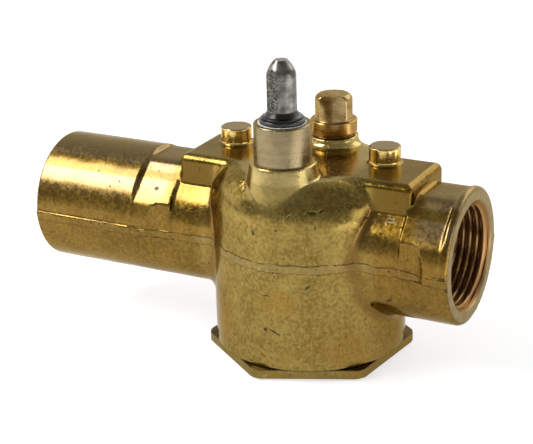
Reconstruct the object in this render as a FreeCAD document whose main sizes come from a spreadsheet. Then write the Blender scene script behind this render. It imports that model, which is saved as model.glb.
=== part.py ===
import FreeCAD, Part
import math
import os
import Sketcher

# Forged brass valve body with a swinging plug, in millimetres.
# The port axis runs along X, with the threaded mouth at +X. Z is up, and the origin is on the barrel's
# axis in the plane of the hexagonal cap that the body stands on.

doc = FreeCAD.newDocument("ValveBody")
sheet = doc.addObject("Spreadsheet::Sheet", "Sizes")

# Driving dimensions: name, value in millimetres or degrees, meaning.
SIZES = [
    ("port_height", 30.9, "axis of both ports above the resting plane"),
    ("barrel_radius", 24.55, "barrel where the shoulder begins"),
    ("barrel_foot_radius", 24.35, "barrel at the cap, smaller by the forging draft"),
    ("shoulder_curve", 13.1, "radius of the shoulder in section"),
    ("plateau_radius", 18.5, "flat top of the barrel"),
    ("plateau_edge", 1.6, "rounding where the shoulder meets the flat top"),
    ("left_reach", 72.4, "left port end from the barrel axis"),
    ("left_port_radius", 16.85, "left port outside"),
    ("left_flats_start", 43.0, "outer end of the left wrench flats"),
    ("left_flats_length", 11.0, "length of the left wrench flats"),
    ("left_edge_break", 0.6, "chamfer on the left port's outer rim"),
    ("right_reach", 43.4, "right port end from the barrel axis"),
    ("right_port_radius", 17.15, "right port outside"),
    ("neck_radius", 15.45, "both ports between barrel and flats, above the parting line"),
    ("flats_side", 15.6, "drafted side of the wrench flats at the parting line"),
    ("parting_drop", 5.6, "drafted side below the parting line, out to the full radius of the belly"),
    ("flats_low_corner", 26.5, "lower corner of a sloping flat, in degrees above the parting line"),
    ("flats_high_corner", 69.5, "upper corner of a sloping flat, in degrees above the parting line"),
    ("right_flats_length", 10.9, "length of the right wrench flats"),
    ("right_collar_width", 1.9, "round collar between the flats and the mouth"),
    ("right_edge_round", 1.1, "rounding of the right port's outer rim"),
    ("belly_root", 2.5, "fillet where a port's belly leaves the barrel"),
    ("slab_length", 63.4, "mounting slab along the ports"),
    ("slab_front", 10.0, "front of the mounting slab from the port axis"),
    ("slab_back", 10.8, "back of the mounting slab from the port axis"),
    ("slab_top", 50.2, "mounting face above the resting plane"),
    ("slab_depth", 7.6, "thickness of the slab"),
    ("slab_corner", 1.3, "upright corner rounding of the slab"),
    ("slab_edge", 0.7, "rounding of the slab's top edges"),
    ("pin_radius", 3.97, "forged locating pins"),
    ("pin_rise", 4.35, "pin tops above the slab"),
    ("pin_left", 22.9, "left pin from the barrel axis"),
    ("pin_right", 18.65, "right pin from the barrel axis"),
    ("pin_back", 4.7, "both pins behind the port axis"),
    ("pin_root", 0.7, "fillet at the foot of a pin"),
    ("stem_offset", 14.0, "stem axis in front of the barrel axis"),
    ("boss_radius", 8.1, "forged stem boss under the spigot"),
    ("boss_foot", 42.0, "height at which the drafted stem boss starts in the shoulder"),
    ("boss_spread", 2.1, "how much wider its draft makes the stem boss at that height"),
    ("boss_inset", 0.3, "least distance from the foot of the stem boss out to the barrel's side"),
    ("boss_root", 0.5, "fillet round the forged stem boss"),
    ("boss_face", 53.9, "where the machined spigot begins"),
    ("spigot_radius", 7.05, "machined spigot"),
    ("spigot_top", 63.7, "top of the spigot"),
    ("spigot_chamfer", 0.5, "edge break on the spigot"),
    ("hub_radius", 6.3, "forged hub under the guide post"),
    ("hub_root", 1.9, "flare of the hub into the plateau"),
    ("hub_face", 52.3, "top of the hub"),
    ("post_offset", 15.0, "guide post behind the barrel axis"),
    ("post_screw_radius", 3.5, "threaded shank of the guide post"),
    ("post_screw_length", 5.2, "threaded shank below the hub's face"),
    ("post_screw_gap", 0.3, "room under the threaded shank"),
    ("post_ring_radius", 5.75, "crest of the rings under the post's collar"),
    ("post_ring_depth", 0.6, "groove between the rings"),
    ("post_neck", 1.0, "ringed neck between the hub and the collar"),
    ("post_collar_radius", 6.05, "collar of the guide post"),
    ("post_collar_width", 3.2, "height of the collar"),
    ("post_collar_chamfer", 0.4, "edge break on top of the collar"),
    ("post_head_radius", 4.85, "head of the guide post"),
    ("post_head_length", 6.5, "head above the collar"),
    ("post_head_round", 1.5, "rounding of the head"),
    ("post_flat", 3.3, "wrench flat from the post's axis"),
    ("post_flat_gap", 0.8, "round stretch between collar and flats"),
    ("post_turn", -71.5, "direction that a flat faces, in degrees"),
    ("cap_flats", 46.4, "hexagon of the bottom cap across flats"),
    ("cap_corner_cut", 0.5, "turned off the hexagon's corners"),
    ("cap_thickness", 2.9, "hexagon of the bottom cap"),
    ("cap_chamfer", 0.6, "turned chamfer on the hexagon's lower corners"),
    ("cap_chamfer_width", 1.2, "that chamfer, measured along the radius"),
    ("cap_turn", 23.5, "angle of a hexagon corner from X, in degrees"),
    ("cap_screw_radius", 20.0, "thread that holds the bottom cap"),
    ("cap_screw_length", 8.8, "threaded wall of the bottom cap"),
    ("cap_wall", 3.2, "wall of the cap's cup"),
    ("cap_floor", 4.6, "floor of the cap's cup"),
    ("cap_lead", 0.6, "chamfer that leads the cap's thread in"),
    ("seal_recess_radius", 22.2, "recess for the cap's seal"),
    ("seal_recess_depth", 1.9, "depth of that recess"),
    ("seal_section", 1.84, "cord of the cap's seal"),
    ("chamber_radius", 19.0, "water chamber"),
    ("chamber_top", 43.5, "ceiling of the chamber"),
    ("chamber_round", 2.6, "rounding of the chamber's ceiling"),
    ("well_clearance", 0.3, "between the stem's parts and the well round them"),
    ("well_depth", 2.0, "well below the foot of the stem"),
    ("thread_radius", 12.4, "port thread, at its crests"),
    ("thread_length", 18.0, "depth of the port thread"),
    ("mouth_radius", 13.8, "chamfered mouth of a port"),
    ("left_waterway", 11.8, "left bore behind its thread"),
    ("right_waterway", 10.5, "right bore behind its thread"),
    ("nozzle_radius", 9.6, "outside of the seat nozzle"),
    ("nozzle_shoulder", 27.0, "step that the nozzle's flange sits on"),
    ("nozzle_flange_width", 3.0, "flange of the seat nozzle"),
    ("nozzle_bore", 6.5, "way through the seat nozzle"),
    ("nozzle_lead", 1.0, "chamfer at the nozzle's inlet"),
    ("seat_lip", 1.1, "width of the seat's lip"),
    ("seat_face", 7.6, "lip of the seat from the stem's plane"),
    ("stem_radius", 3.6, "stem"),
    ("stem_top", 79.0, "tip of the stem"),
    ("stem_tip_radius", 1.6, "flat on the stem's tip"),
    ("stem_tip_length", 3.8, "rounded tip"),
    ("stem_tip_curve", 6.0, "radius of the tip in section"),
    ("stem_flare_radius", 5.0, "shoulder of the stem above the wiper"),
    ("stem_flare_height", 1.7, "height of that shoulder"),
    ("stem_flare_rim", 0.34, "upright rim of that shoulder"),
    ("stem_flat", 3.15, "driving flat from the stem's axis"),
    ("stem_flat_gap", 0.3, "round stretch between shoulder and flat"),
    ("stem_flat_turn", -110.5, "direction that the flat faces, in degrees"),
    ("wiper_radius", 5.55, "rubber wiper on the spigot"),
    ("wiper_height", 1.1, "height of the wiper"),
    ("wiper_chamfer", 0.28, "edge break of the wiper"),
    ("gland_radius", 6.0, "bore for the stem's seals"),
    ("gland_floor", 46.5, "bottom of that bore"),
    ("lower_bush_height", 2.8, "bush under the lower seal"),
    ("spacer_height", 2.4, "spacer between the stem's seals"),
    ("oring_section", 2.16, "cord of the stem's seals"),
    ("oring_room", 2.24, "height left for a stem seal"),
    ("washer_radius", 6.2, "thrust washer"),
    ("washer_thickness", 0.9, "thrust washer"),
    ("ring_radius", 5.4, "retaining ring outside"),
    ("ring_thickness", 1.0, "retaining ring"),
    ("ring_groove_depth", 0.7, "groove that the ring snaps into"),
    ("stem_chamfer", 0.35, "edge break at the foot of the stem"),
    ("ring_gap", 3.2, "opening of the retaining ring"),
    ("arm_hub_radius", 5.2, "hub of the paddle arm"),
    ("arm_hub_height", 9.0, "hub of the paddle arm"),
    ("stem_overhang", 0.6, "foot of the stem below the paddle arm's hub"),
    ("arm_thickness", 2.4, "blade of the paddle arm"),
    ("arm_width", 7.0, "blade of the paddle arm"),
    ("arm_disc_radius", 6.4, "disc that carries the plug"),
    ("arm_pin_radius", 1.2, "cross pin through hub and stem"),
    ("plug_radius", 8.6, "rubber plug"),
    ("plug_thickness", 4.8, "rubber plug from face to back"),
    ("plug_edge", 0.9, "bevel of the plug's faces"),
    ("plug_recess_radius", 3.7, "recess for the plug's washer"),
    ("plug_recess_depth", 0.9, "depth of that recess"),
    ("plug_washer_radius", 3.5, "washer under the rivet's head"),
    ("plug_washer_thickness", 0.8, "washer under the rivet's head"),
    ("rivet_radius", 1.55, "shank of the rivet"),
    ("rivet_head_radius", 2.7, "head of the rivet"),
    ("rivet_head_height", 1.1, "head of the rivet"),
    ("rivet_tail_radius", 2.3, "peened end of the rivet"),
    ("rivet_tail_height", 0.8, "peened end of the rivet"),
    ("running_clearance", 0.06, "radial play of the turning stem"),
    ("stem_way_clearance", 0.24, "round the stem where the body doesn't guide it"),
    ("seal_clearance", 0.15, "between a seal and the stem at rest"),
    ("fit_clearance", 0.05, "radial play of a part that is screwed or pressed in"),
    ("face_clearance", 0.1, "axial play of the turning stem"),
    ("closing_gap", 0.3, "between the plug and its seat at rest"),
]
for row, (name, value, meaning) in enumerate(SIZES, start=1):
    sheet.set(f"A{row}", meaning)
    sheet.set(f"B{row}", str(value))
    sheet.setAlias(f"B{row}", name)
doc.recompute()

# Edges are picked by their places: two places within NEAR are the same one. A length or volume within
# TINY of nothing is nothing.
NEAR = 1e-3
TINY = 1e-6


class Size:
    """A size of the model: its number now, and the sheet expression that keeps it up to date."""

    def __init__(self, number, text):
        self.number = number
        self.text = text

    def __add__(self, other):
        other = as_size(other)
        return Size(self.number + other.number, f"({self.text} + {other.text})")

    def __sub__(self, other):
        other = as_size(other)
        return Size(self.number - other.number, f"({self.text} - {other.text})")

    def __mul__(self, factor):
        return Size(self.number * factor, f"({self.text} * {factor:.12g})")

    def __truediv__(self, divisor):
        return self * (1 / divisor)

    def __neg__(self):
        return self * -1

    def share(self, other):
        """This size divided by another."""
        return Size(self.number / other.number, f"({self.text} / {other.text})")

    def times(self, other):
        """This size multiplied by another."""
        return Size(self.number * other.number, f"({self.text} * {other.text})")

    def at_most(self, other):
        """The smaller one of this size and another."""
        return Size(min(self.number, other.number), f"min({self.text}; {other.text})")

    def cosine(self):
        """The cosine of this size, which is an angle in degrees."""
        return Size(math.cos(math.radians(self.number)), f"cos({self.text})")

    def sine(self):
        """The sine of this size, which is an angle in degrees."""
        return Size(math.sin(math.radians(self.number)), f"sin({self.text})")

    def leg(self, other):
        """The other short side of a right triangle with this long side."""
        number = math.sqrt(self.number ** 2 - other.number ** 2)
        return Size(number, f"sqrt({self.text} ^ 2 - {other.text} ^ 2)")


def as_size(value):
    """Lets a plain number stand beside sizes in a sum."""
    return value if isinstance(value, Size) else Size(float(value), f"{value:.12g}")


def size(name):
    """The size of that name in the sheet."""
    return Size(float(sheet.get(name)), f"Sizes.{name}")


def new_body(name, x=None, y=None):
    """An empty body, moved sideways where its own axis isn't the barrel's."""
    body = doc.addObject("PartDesign::Body", name)
    body.Label = name
    if x is not None:
        body.setExpression("Placement.Base.x", x.text)
    if y is not None:
        body.setExpression("Placement.Base.y", y.text)
    return body


def new_sketch(body, name, role, right=None, up=None, out=None, turn=None):
    """A sketch on one of the body's origin planes, shifted and turned in that plane's own axes."""
    sketch = body.newObject("Sketcher::SketchObject", name)
    base_plane = next(f for f in body.Origin.OriginFeatures if f.Role == role)
    sketch.AttachmentSupport = [(base_plane, "")]
    sketch.MapMode = "FlatFace"
    for axis, shift in (("x", right), ("y", up), ("z", out)):
        if isinstance(shift, Size):
            sketch.setExpression(f"AttachmentOffset.Base.{axis}", shift.text)
    if turn is not None:
        sketch.setExpression("AttachmentOffset.Rotation.Angle", turn.text)
    return sketch


def hold_point(sketch, part, end, x, y):
    """Ties one end of a sketch line or arc to the coordinates x and y."""
    for kind, axis, value in (("DistanceX", -2, as_size(x)), ("DistanceY", -1, as_size(y))):
        if abs(value.number) < TINY:
            sketch.addConstraint(Sketcher.Constraint("PointOnObject", part, end, axis))
            continue
        if value.number > 0:
            rule = Sketcher.Constraint(kind, -1, 1, part, end, value.number)
        else:
            value = -value
            rule = Sketcher.Constraint(kind, part, end, -1, 1, value.number)
        sketch.setExpression(f"Constraints[{sketch.addConstraint(rule)}]", value.text)


def arc_between(start, end, radius):
    """An arc of that radius; a positive radius keeps its centre on the left of the way from start to end."""
    chord = end - start
    half = chord.Length / 2
    rise = math.sqrt(max(radius * radius - half * half, 0))
    left = FreeCAD.Vector(-chord.y, chord.x, 0).normalize()
    centre = (start + end) * 0.5 + left * (rise if radius > 0 else -rise)
    first, last = (start, end) if radius > 0 else (end, start)
    begin = math.atan2(first.y - centre.y, first.x - centre.x)
    finish = math.atan2(last.y - centre.y, last.x - centre.x)
    if finish <= begin:
        finish += 2 * math.pi
    circle = Part.Circle(centre, FreeCAD.Vector(0, 0, 1), abs(radius))
    return Part.ArcOfCircle(circle, begin, finish)


def outline(sketch, points, arcs=None):
    """A closed outline through the points; arcs gives the radius of each side that is an arc."""
    arcs = arcs or {}
    places = [FreeCAD.Vector(as_size(x).number, as_size(y).number, 0) for x, y in points]
    count = len(points)
    parts = []
    for side in range(count):
        start = places[side]
        end = places[(side + 1) % count]
        if side in arcs:
            part = sketch.addGeometry(arc_between(start, end, arcs[side].number), False)
            ends = (1, 2) if arcs[side].number > 0 else (2, 1)
        else:
            part = sketch.addGeometry(Part.LineSegment(start, end), False)
            ends = (1, 2)
        parts.append((part, ends))
    for side, (part, ends) in enumerate(parts):
        following, following_ends = parts[(side + 1) % count]
        sketch.addConstraint(Sketcher.Constraint("Coincident", part, ends[1], following, following_ends[0]))
        hold_point(sketch, part, ends[0], *points[side])
        if side in arcs:
            radius = arcs[side] if arcs[side].number > 0 else -arcs[side]
            rule = Sketcher.Constraint("Radius", part, radius.number)
            sketch.setExpression(f"Constraints[{sketch.addConstraint(rule)}]", radius.text)


def circle(sketch, radius, x=0, y=0):
    """A circle of that radius with its centre at x and y."""
    centre = FreeCAD.Vector(as_size(x).number, as_size(y).number, 0)
    part = sketch.addGeometry(Part.Circle(centre, FreeCAD.Vector(0, 0, 1), radius.number), False)
    hold_point(sketch, part, 3, x, y)
    rule = Sketcher.Constraint("Radius", part, radius.number)
    sketch.setExpression(f"Constraints[{sketch.addConstraint(rule)}]", radius.text)


def rectangle(sketch, left, right, low, high):
    """An upright rectangle between those four sides."""
    outline(sketch, [(left, low), (right, low), (right, high), (left, high)])


def polygon(sketch, corner_radius, sides, first_corner):
    """A regular polygon about the sketch's centre, with a corner at first_corner degrees."""
    corners = []
    for number in range(sides):
        angle = math.radians(first_corner + number * 360 / sides)
        corners.append((corner_radius * math.cos(angle), corner_radius * math.sin(angle)))
    outline(sketch, corners)


def feature(body, kind, name, sketch, length=None, **settings):
    """A sketch-based feature; a cut that takes nothing away or a form that adds nothing is an error."""
    before = body.Shape.Volume if body.Tip else 0
    made = body.newObject(f"PartDesign::{kind}", name)
    made.Profile = sketch
    for setting, value in settings.items():
        setattr(made, setting, value)
    if length is not None:
        made.setExpression("Length", length.text)
    sketch.Visibility = False
    body.Tip = made
    doc.recompute()
    change = made.Shape.Volume - before
    wrong = change >= -TINY if kind in ("Pocket", "Groove") else change <= TINY
    if wrong:
        raise RuntimeError(f"{body.Label}: {name} changed the volume by {change:.6f}")
    return made


def turned(body, name, points, arcs=None, cut=False, **place):
    """A profile in the XZ plane, turned about the sketch's upright axis."""
    sketch = new_sketch(body, f"{name}_profile", "XZ_Plane", **place)
    outline(sketch, points, arcs)
    return feature(body, "Groove" if cut else "Revolution", name, sketch,
                   ReferenceAxis=(sketch, ["V_Axis"]), Angle=360)


def turned_along(body, name, points, arcs=None, cut=False, **place):
    """A profile of x and radius, turned about the port axis."""
    sketch = new_sketch(body, f"{name}_profile", "XZ_Plane", up=size("port_height"), **place)
    outline(sketch, points, arcs)
    return feature(body, "Groove" if cut else "Revolution", name, sketch,
                   ReferenceAxis=(sketch, ["H_Axis"]), Angle=360)


def dress(body, kind, name, amount, wanted):
    """A fillet or chamfer on every edge of the body that wanted says yes to."""
    base = body.Tip
    edges = [f"Edge{number}" for number, edge in enumerate(base.Shape.Edges, start=1) if wanted(edge)]
    if not edges:
        raise RuntimeError(f"{body.Label}: {name} finds no edge")
    made = body.newObject(f"PartDesign::{kind}", name)
    made.Base = (base, edges)
    made.setExpression("Radius" if kind == "Fillet" else "Size", amount.text)
    body.Tip = made
    doc.recompute()
    if "Invalid" in made.State or made.Shape.isNull() or not made.Shape.isValid():
        raise RuntimeError(f"{body.Label}: {name} failed on {len(edges)} edges")
    return made


def round_edge(edge, radius, x=0.0, y=0.0, z=None):
    """True for a level circle or arc of that radius about an upright axis, at height z where given."""
    if not isinstance(edge.Curve, Part.Circle) or abs(abs(edge.Curve.Axis.z) - 1) > TINY:
        return False
    centre = edge.Curve.Center
    beside = max(abs(centre.x - x), abs(centre.y - y))
    return max(beside, abs(edge.Curve.Radius - radius)) < NEAR and (z is None or abs(centre.z - z) < NEAR)


port_height = size("port_height")
foot = size("cap_thickness")
slab_top = size("slab_top")
stem_offset = size("stem_offset")
post_offset = size("post_offset")
cap_screw_radius = size("cap_screw_radius")
cap_screw_top = foot + size("cap_screw_length")
nozzle_radius = size("nozzle_radius")
thread_radius = size("thread_radius")
thread_length = size("thread_length")
mouth_radius = size("mouth_radius")
mouth_depth = mouth_radius - thread_radius
boss_limit = size("barrel_radius") - stem_offset - size("boss_inset")
boss_foot_radius = boss_limit.at_most(size("boss_radius") + size("boss_spread"))
stem_radius = size("stem_radius")
spigot_top = size("spigot_top")
gland_floor = size("gland_floor")
gland_radius = size("gland_radius")
chamber_top = size("chamber_top")
running = size("running_clearance")
snug = size("fit_clearance")
play = size("face_clearance")
left_reach = size("left_reach")
right_reach = size("right_reach")
arm_low = port_height - size("arm_hub_height") / 2
stem_foot = arm_low - size("stem_overhang")
plug_face = size("seat_face") - size("closing_gap")
arm_face = plug_face - size("plug_thickness")
bite = as_size(1)


def add_barrel(body):
    """The round body with its drafted side, curved shoulder and flat plateau."""
    side = size("barrel_radius")
    curve = size("shoulder_curve")
    edge = size("plateau_edge")
    plateau = size("plateau_radius")
    middle = side - curve
    reach = plateau - middle
    rise = (curve - edge).leg(reach)
    low = slab_top - edge - rise
    scale = curve.share(curve - edge)
    profile = [
        (0, foot),
        (size("barrel_foot_radius"), foot),
        (side, low),
        (middle + reach.times(scale), low + rise.times(scale)),
        (plateau, slab_top),
        (0, slab_top),
    ]
    turned(body, "barrel", profile, {2: curve, 3: edge})


def add_flats(body, name, start, length, radius):
    """Wrench flats on the upper half of a port, drafted from the parting line."""
    side = size("flats_side")
    low = size("flats_low_corner")
    high = size("flats_high_corner")
    low_y, low_z = radius.times(low.cosine()), radius.times(low.sine())
    high_y, high_z = radius.times(high.cosine()), radius.times(high.sine())
    points = [(side, 0), (low_y, low_z), (high_y, high_z), (-high_y, high_z), (-low_y, low_z), (-side, 0)]
    sketch = new_sketch(body, f"{name}_profile", "YZ_Plane", up=port_height, out=start)
    outline(sketch, points)
    feature(body, "Pad", name, sketch, length)


def add_belly(body, name, start, length, radius):
    """The round lower half of a port, which runs on to the barrel under flats and neck."""
    side = size("flats_side")
    drop = size("parting_drop")
    reach = radius.leg(drop)
    sketch = new_sketch(body, f"{name}_profile", "YZ_Plane", up=port_height, out=start)
    outline(sketch, [(-side, 0), (-reach, -drop), (reach, -drop), (side, 0)], {1: radius})
    feature(body, "Pad", name, sketch, length)


def add_ports(body):
    """Both ports: a round run, wrench flats and neck above the parting line, a round belly below it."""
    left_radius = size("left_port_radius")
    right_radius = size("right_port_radius")
    neck = size("neck_radius")
    edge_break = size("left_edge_break")
    edge_round = size("right_edge_round")
    left_start = -size("left_flats_start")
    right_end = right_reach - size("right_collar_width")
    right_start = right_end - size("right_flats_length")
    profile = [
        (-left_reach, 0),
        (-left_reach, left_radius - edge_break),
        (-left_reach + edge_break, left_radius),
        (left_start, left_radius),
        (left_start, neck),
        (right_end, neck),
        (right_end, right_radius),
        (right_reach - edge_round, right_radius),
        (right_reach, right_radius - edge_round),
        (right_reach, 0),
    ]
    turned_along(body, "ports", profile, {7: -edge_round})
    add_flats(body, "left_flats", left_start, size("left_flats_length"), left_radius)
    add_flats(body, "right_flats", right_start, size("right_flats_length"), right_radius)
    add_belly(body, "left_belly", left_start, -left_start, left_radius)
    add_belly(body, "right_belly", 0, right_end, right_radius)


def soften_ports(body):
    """The forging's fillet where the ports' bellies run into the barrel's side."""
    low, high = sorted((size("barrel_foot_radius").number, size("barrel_radius").number))
    belly_top = port_height.number + NEAR

    def root(edge):
        points = edge.discretize(5)
        on_side = all(low - NEAR < math.hypot(p.x, p.y) < high + NEAR for p in points)
        level = edge.BoundBox.ZLength < NEAR
        return on_side and not level and all(foot.number < p.z < belly_top for p in points)

    dress(body, "Fillet", "belly_roots", size("belly_root"), root)


def add_slab(body):
    """The rectangular mounting slab across the top of both ports."""
    sketch = new_sketch(body, "slab_profile", "XY_Plane", out=slab_top - size("slab_depth"))
    half_length = size("slab_length") / 2
    rectangle(sketch, -half_length, half_length, -size("slab_front"), size("slab_back"))
    feature(body, "Pad", "slab", sketch, size("slab_depth"))
    dress(body, "Fillet", "slab_corners", size("slab_corner"), lambda edge: edge.BoundBox.ZLength > NEAR)
    dress(body, "Fillet", "slab_edges", size("slab_edge"),
          lambda edge: abs(edge.BoundBox.ZMin - slab_top.number) < NEAR)


def add_bosses(body):
    """The drafted stem boss with its machined spigot, and the hub behind it."""
    boss_foot = size("boss_foot")
    boss_face = size("boss_face")
    profile = [
        (0, boss_foot),
        (boss_foot_radius, boss_foot),
        (size("boss_radius"), boss_face),
        (0, boss_face),
    ]
    turned(body, "stem_boss", profile, out=stem_offset)
    soften_boss(body)
    sketch = new_sketch(body, "spigot_profile", "XY_Plane", out=port_height)
    circle(sketch, size("spigot_radius"), 0, -stem_offset)
    feature(body, "Pad", "spigot", sketch, spigot_top - port_height)
    spigot = size("spigot_radius").number
    dress(body, "Chamfer", "spigot_rim", size("spigot_chamfer"),
          lambda edge: round_edge(edge, spigot, 0, -stem_offset.number, spigot_top.number))
    sketch = new_sketch(body, "hub_profile", "XY_Plane", out=port_height)
    circle(sketch, size("hub_radius"), 0, post_offset)
    feature(body, "Pad", "post_hub", sketch, size("hub_face") - port_height)


def soften_boss(body):
    """The forging's fillet where the stem boss runs into the shoulder and the plateau."""
    radius = size("boss_radius").number
    top = size("boss_face").number
    low = size("boss_foot").number
    draft = (boss_foot_radius.number - radius) / (top - low)

    def on_boss(point):
        reach = math.hypot(point.x, point.y + stem_offset.number)
        return abs(reach - radius - draft * (top - point.z)) < NEAR

    def root(edge):
        box = edge.BoundBox
        seam_or_rim = isinstance(edge.Curve, Part.Line) or box.ZMin > top - NEAR or box.ZMax < low + NEAR
        return not seam_or_rim and all(on_boss(vertex.Point) for vertex in edge.Vertexes)

    dress(body, "Fillet", "boss_root", size("boss_root"), root)


def add_pins(body):
    """The two locating pins forged on the slab, faced off on top."""
    radius = size("pin_radius")
    for name, x in (("left_pin", -size("pin_left")), ("right_pin", size("pin_right"))):
        sketch = new_sketch(body, f"{name}_profile", "XY_Plane", out=slab_top - bite)
        circle(sketch, radius, x, size("pin_back"))
        feature(body, "Pad", name, sketch, size("pin_rise") + bite)
    places = [(-size("pin_left").number, size("pin_back").number),
              (size("pin_right").number, size("pin_back").number)]
    dress(body, "Fillet", "pin_roots", size("pin_root"),
          lambda edge: any(round_edge(edge, radius.number, x, y, slab_top.number) for x, y in places))


def cut_chamber(body):
    """The water chamber, bored from below, with the cap's thread, its seal's recess and the stem's well."""
    chamber = size("chamber_radius")
    corner = size("chamber_round")
    seal_top = foot + size("seal_recess_depth")
    profile = [
        (0, foot),
        (size("seal_recess_radius"), foot),
        (size("seal_recess_radius"), seal_top),
        (cap_screw_radius, seal_top),
        (cap_screw_radius, cap_screw_top),
        (chamber, cap_screw_top + (cap_screw_radius - chamber)),
        (chamber, chamber_top - corner),
        (chamber - corner, chamber_top),
        (0, chamber_top),
    ]
    turned(body, "chamber", profile, {6: corner}, cut=True)
    well = size("washer_radius") + size("well_clearance")
    well_low = stem_foot - size("well_depth")
    profile = [(0, well_low - well), (well, well_low), (well, chamber_top), (0, chamber_top)]
    turned(body, "stem_well", profile, cut=True, out=stem_offset)


def cut_waterways(body):
    """The threaded mouths, the bores behind them and the step that the seat nozzle sits on."""
    left = size("left_waterway")
    right = size("right_waterway")
    step = -size("nozzle_shoulder")
    nozzle = nozzle_radius + snug
    left_profile = [
        (-left_reach, 0),
        (-left_reach, mouth_radius),
        (-left_reach + mouth_depth, thread_radius),
        (-left_reach + thread_length, thread_radius),
        (-left_reach + thread_length, left),
        (step, left),
        (step, nozzle),
        (0, nozzle),
        (0, 0),
    ]
    turned_along(body, "left_bore", left_profile, cut=True)
    right_profile = [
        (0, 0),
        (0, right),
        (right_reach - thread_length, right),
        (right_reach - thread_length, thread_radius),
        (right_reach - mouth_depth, thread_radius),
        (right_reach, mouth_radius),
        (right_reach, 0),
    ]
    turned_along(body, "right_bore", right_profile, cut=True)


def cut_gland(body):
    """The bore that holds the stem's seals, and the blind thread for the guide post."""
    stem_way = stem_radius + size("stem_way_clearance")
    profile = [
        (0, chamber_top - bite),
        (stem_way, chamber_top - bite),
        (stem_way, gland_floor),
        (gland_radius, gland_floor),
        (gland_radius, spigot_top),
        (0, spigot_top),
    ]
    turned(body, "gland", profile, cut=True, out=stem_offset)
    hub_face = size("hub_face")
    screw = size("post_screw_radius") + snug
    bottom = hub_face - size("post_screw_length") - size("post_screw_gap")
    profile = [(0, bottom), (screw, bottom), (screw, hub_face), (0, hub_face)]
    turned(body, "post_thread", profile, cut=True, out=-post_offset)


def soften_hub(body):
    """The flare of the hub into the plateau and the shoulder behind it."""
    radius = size("hub_radius").number
    top = size("hub_face").number

    def root(edge):
        inside = all(abs(math.hypot(v.X, v.Y - post_offset.number) - radius) < NEAR for v in edge.Vertexes)
        seam_or_rim = isinstance(edge.Curve, Part.Line) or abs(edge.BoundBox.ZMin - top) < NEAR
        return inside and not seam_or_rim

    dress(body, "Fillet", "hub_root", size("hub_root"), root)


def make_valve_body():
    """The one-piece forging with everything that is machined into it."""
    body = new_body("valve_body")
    add_slab(body)
    add_barrel(body)
    add_ports(body)
    soften_ports(body)
    add_bosses(body)
    soften_hub(body)
    add_pins(body)
    cut_chamber(body)
    cut_waterways(body)
    cut_gland(body)
    return body


def make_bottom_cap():
    """The hexagonal cap: a cup that screws up into the barrel and carries its seal."""
    body = new_body("bottom_cap")
    sketch = new_sketch(body, "hexagon_profile", "XY_Plane", turn=size("cap_turn"))
    hexagon_radius = size("cap_flats") / (2 * math.cos(math.pi / 6))
    polygon(sketch, hexagon_radius, 6, 0)
    feature(body, "Pad", "hexagon", sketch, foot)
    corner = hexagon_radius - size("cap_corner_cut")
    chamfer = size("cap_chamfer")
    beyond = size("cap_flats")
    chamfer_start = corner - size("cap_chamfer_width")
    profile = [(chamfer_start, 0), (beyond, 0), (beyond, foot), (corner, foot), (corner, chamfer)]
    turned(body, "turned_corners", profile, cut=True)
    outer = cap_screw_radius - snug
    inner = outer - size("cap_wall")
    floor = size("cap_floor")
    lead = size("cap_lead")
    profile = [
        (0, foot / 2),
        (outer, foot / 2),
        (outer, cap_screw_top - lead),
        (outer - lead, cap_screw_top),
        (inner, cap_screw_top),
        (inner, floor),
        (0, floor),
    ]
    turned(body, "cup", profile)
    return body


def ring_solid(name, height, middle_radius, section, y=None):
    """A rubber ring of round section, lying level at that height."""
    ring = doc.addObject("Part::Torus", name)
    ring.Label = name
    ring.setExpression("Radius1", middle_radius.text)
    ring.setExpression("Radius2", (section / 2).text)
    ring.setExpression("Placement.Base.z", height.text)
    if y is not None:
        ring.setExpression("Placement.Base.y", y.text)
    return ring


def make_bottom_cap_seal():
    """The ring that seals the cap, in the recess round its thread."""
    section = size("seal_section")
    middle = (cap_screw_radius - snug + size("seal_recess_radius")) / 2
    return ring_solid("bottom_cap_seal", foot + section / 2, middle, section)


def make_seat_nozzle():
    """The brass tube that carries the seat from the left port into the chamber."""
    body = new_body("seat_nozzle")
    bore = size("nozzle_bore")
    lip = bore + size("seat_lip")
    face = -size("seat_face")
    step = -size("nozzle_shoulder")
    flange = size("left_waterway") - snug * 2
    flange_end = step - size("nozzle_flange_width")
    lead = size("nozzle_lead")
    profile = [
        (flange_end, bore + lead),
        (flange_end, flange),
        (step, flange),
        (step, nozzle_radius),
        (face - (nozzle_radius - lip), nozzle_radius),
        (face, lip),
        (face, bore),
        (flange_end + lead, bore),
    ]
    turned_along(body, "nozzle", profile)
    return body


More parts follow.
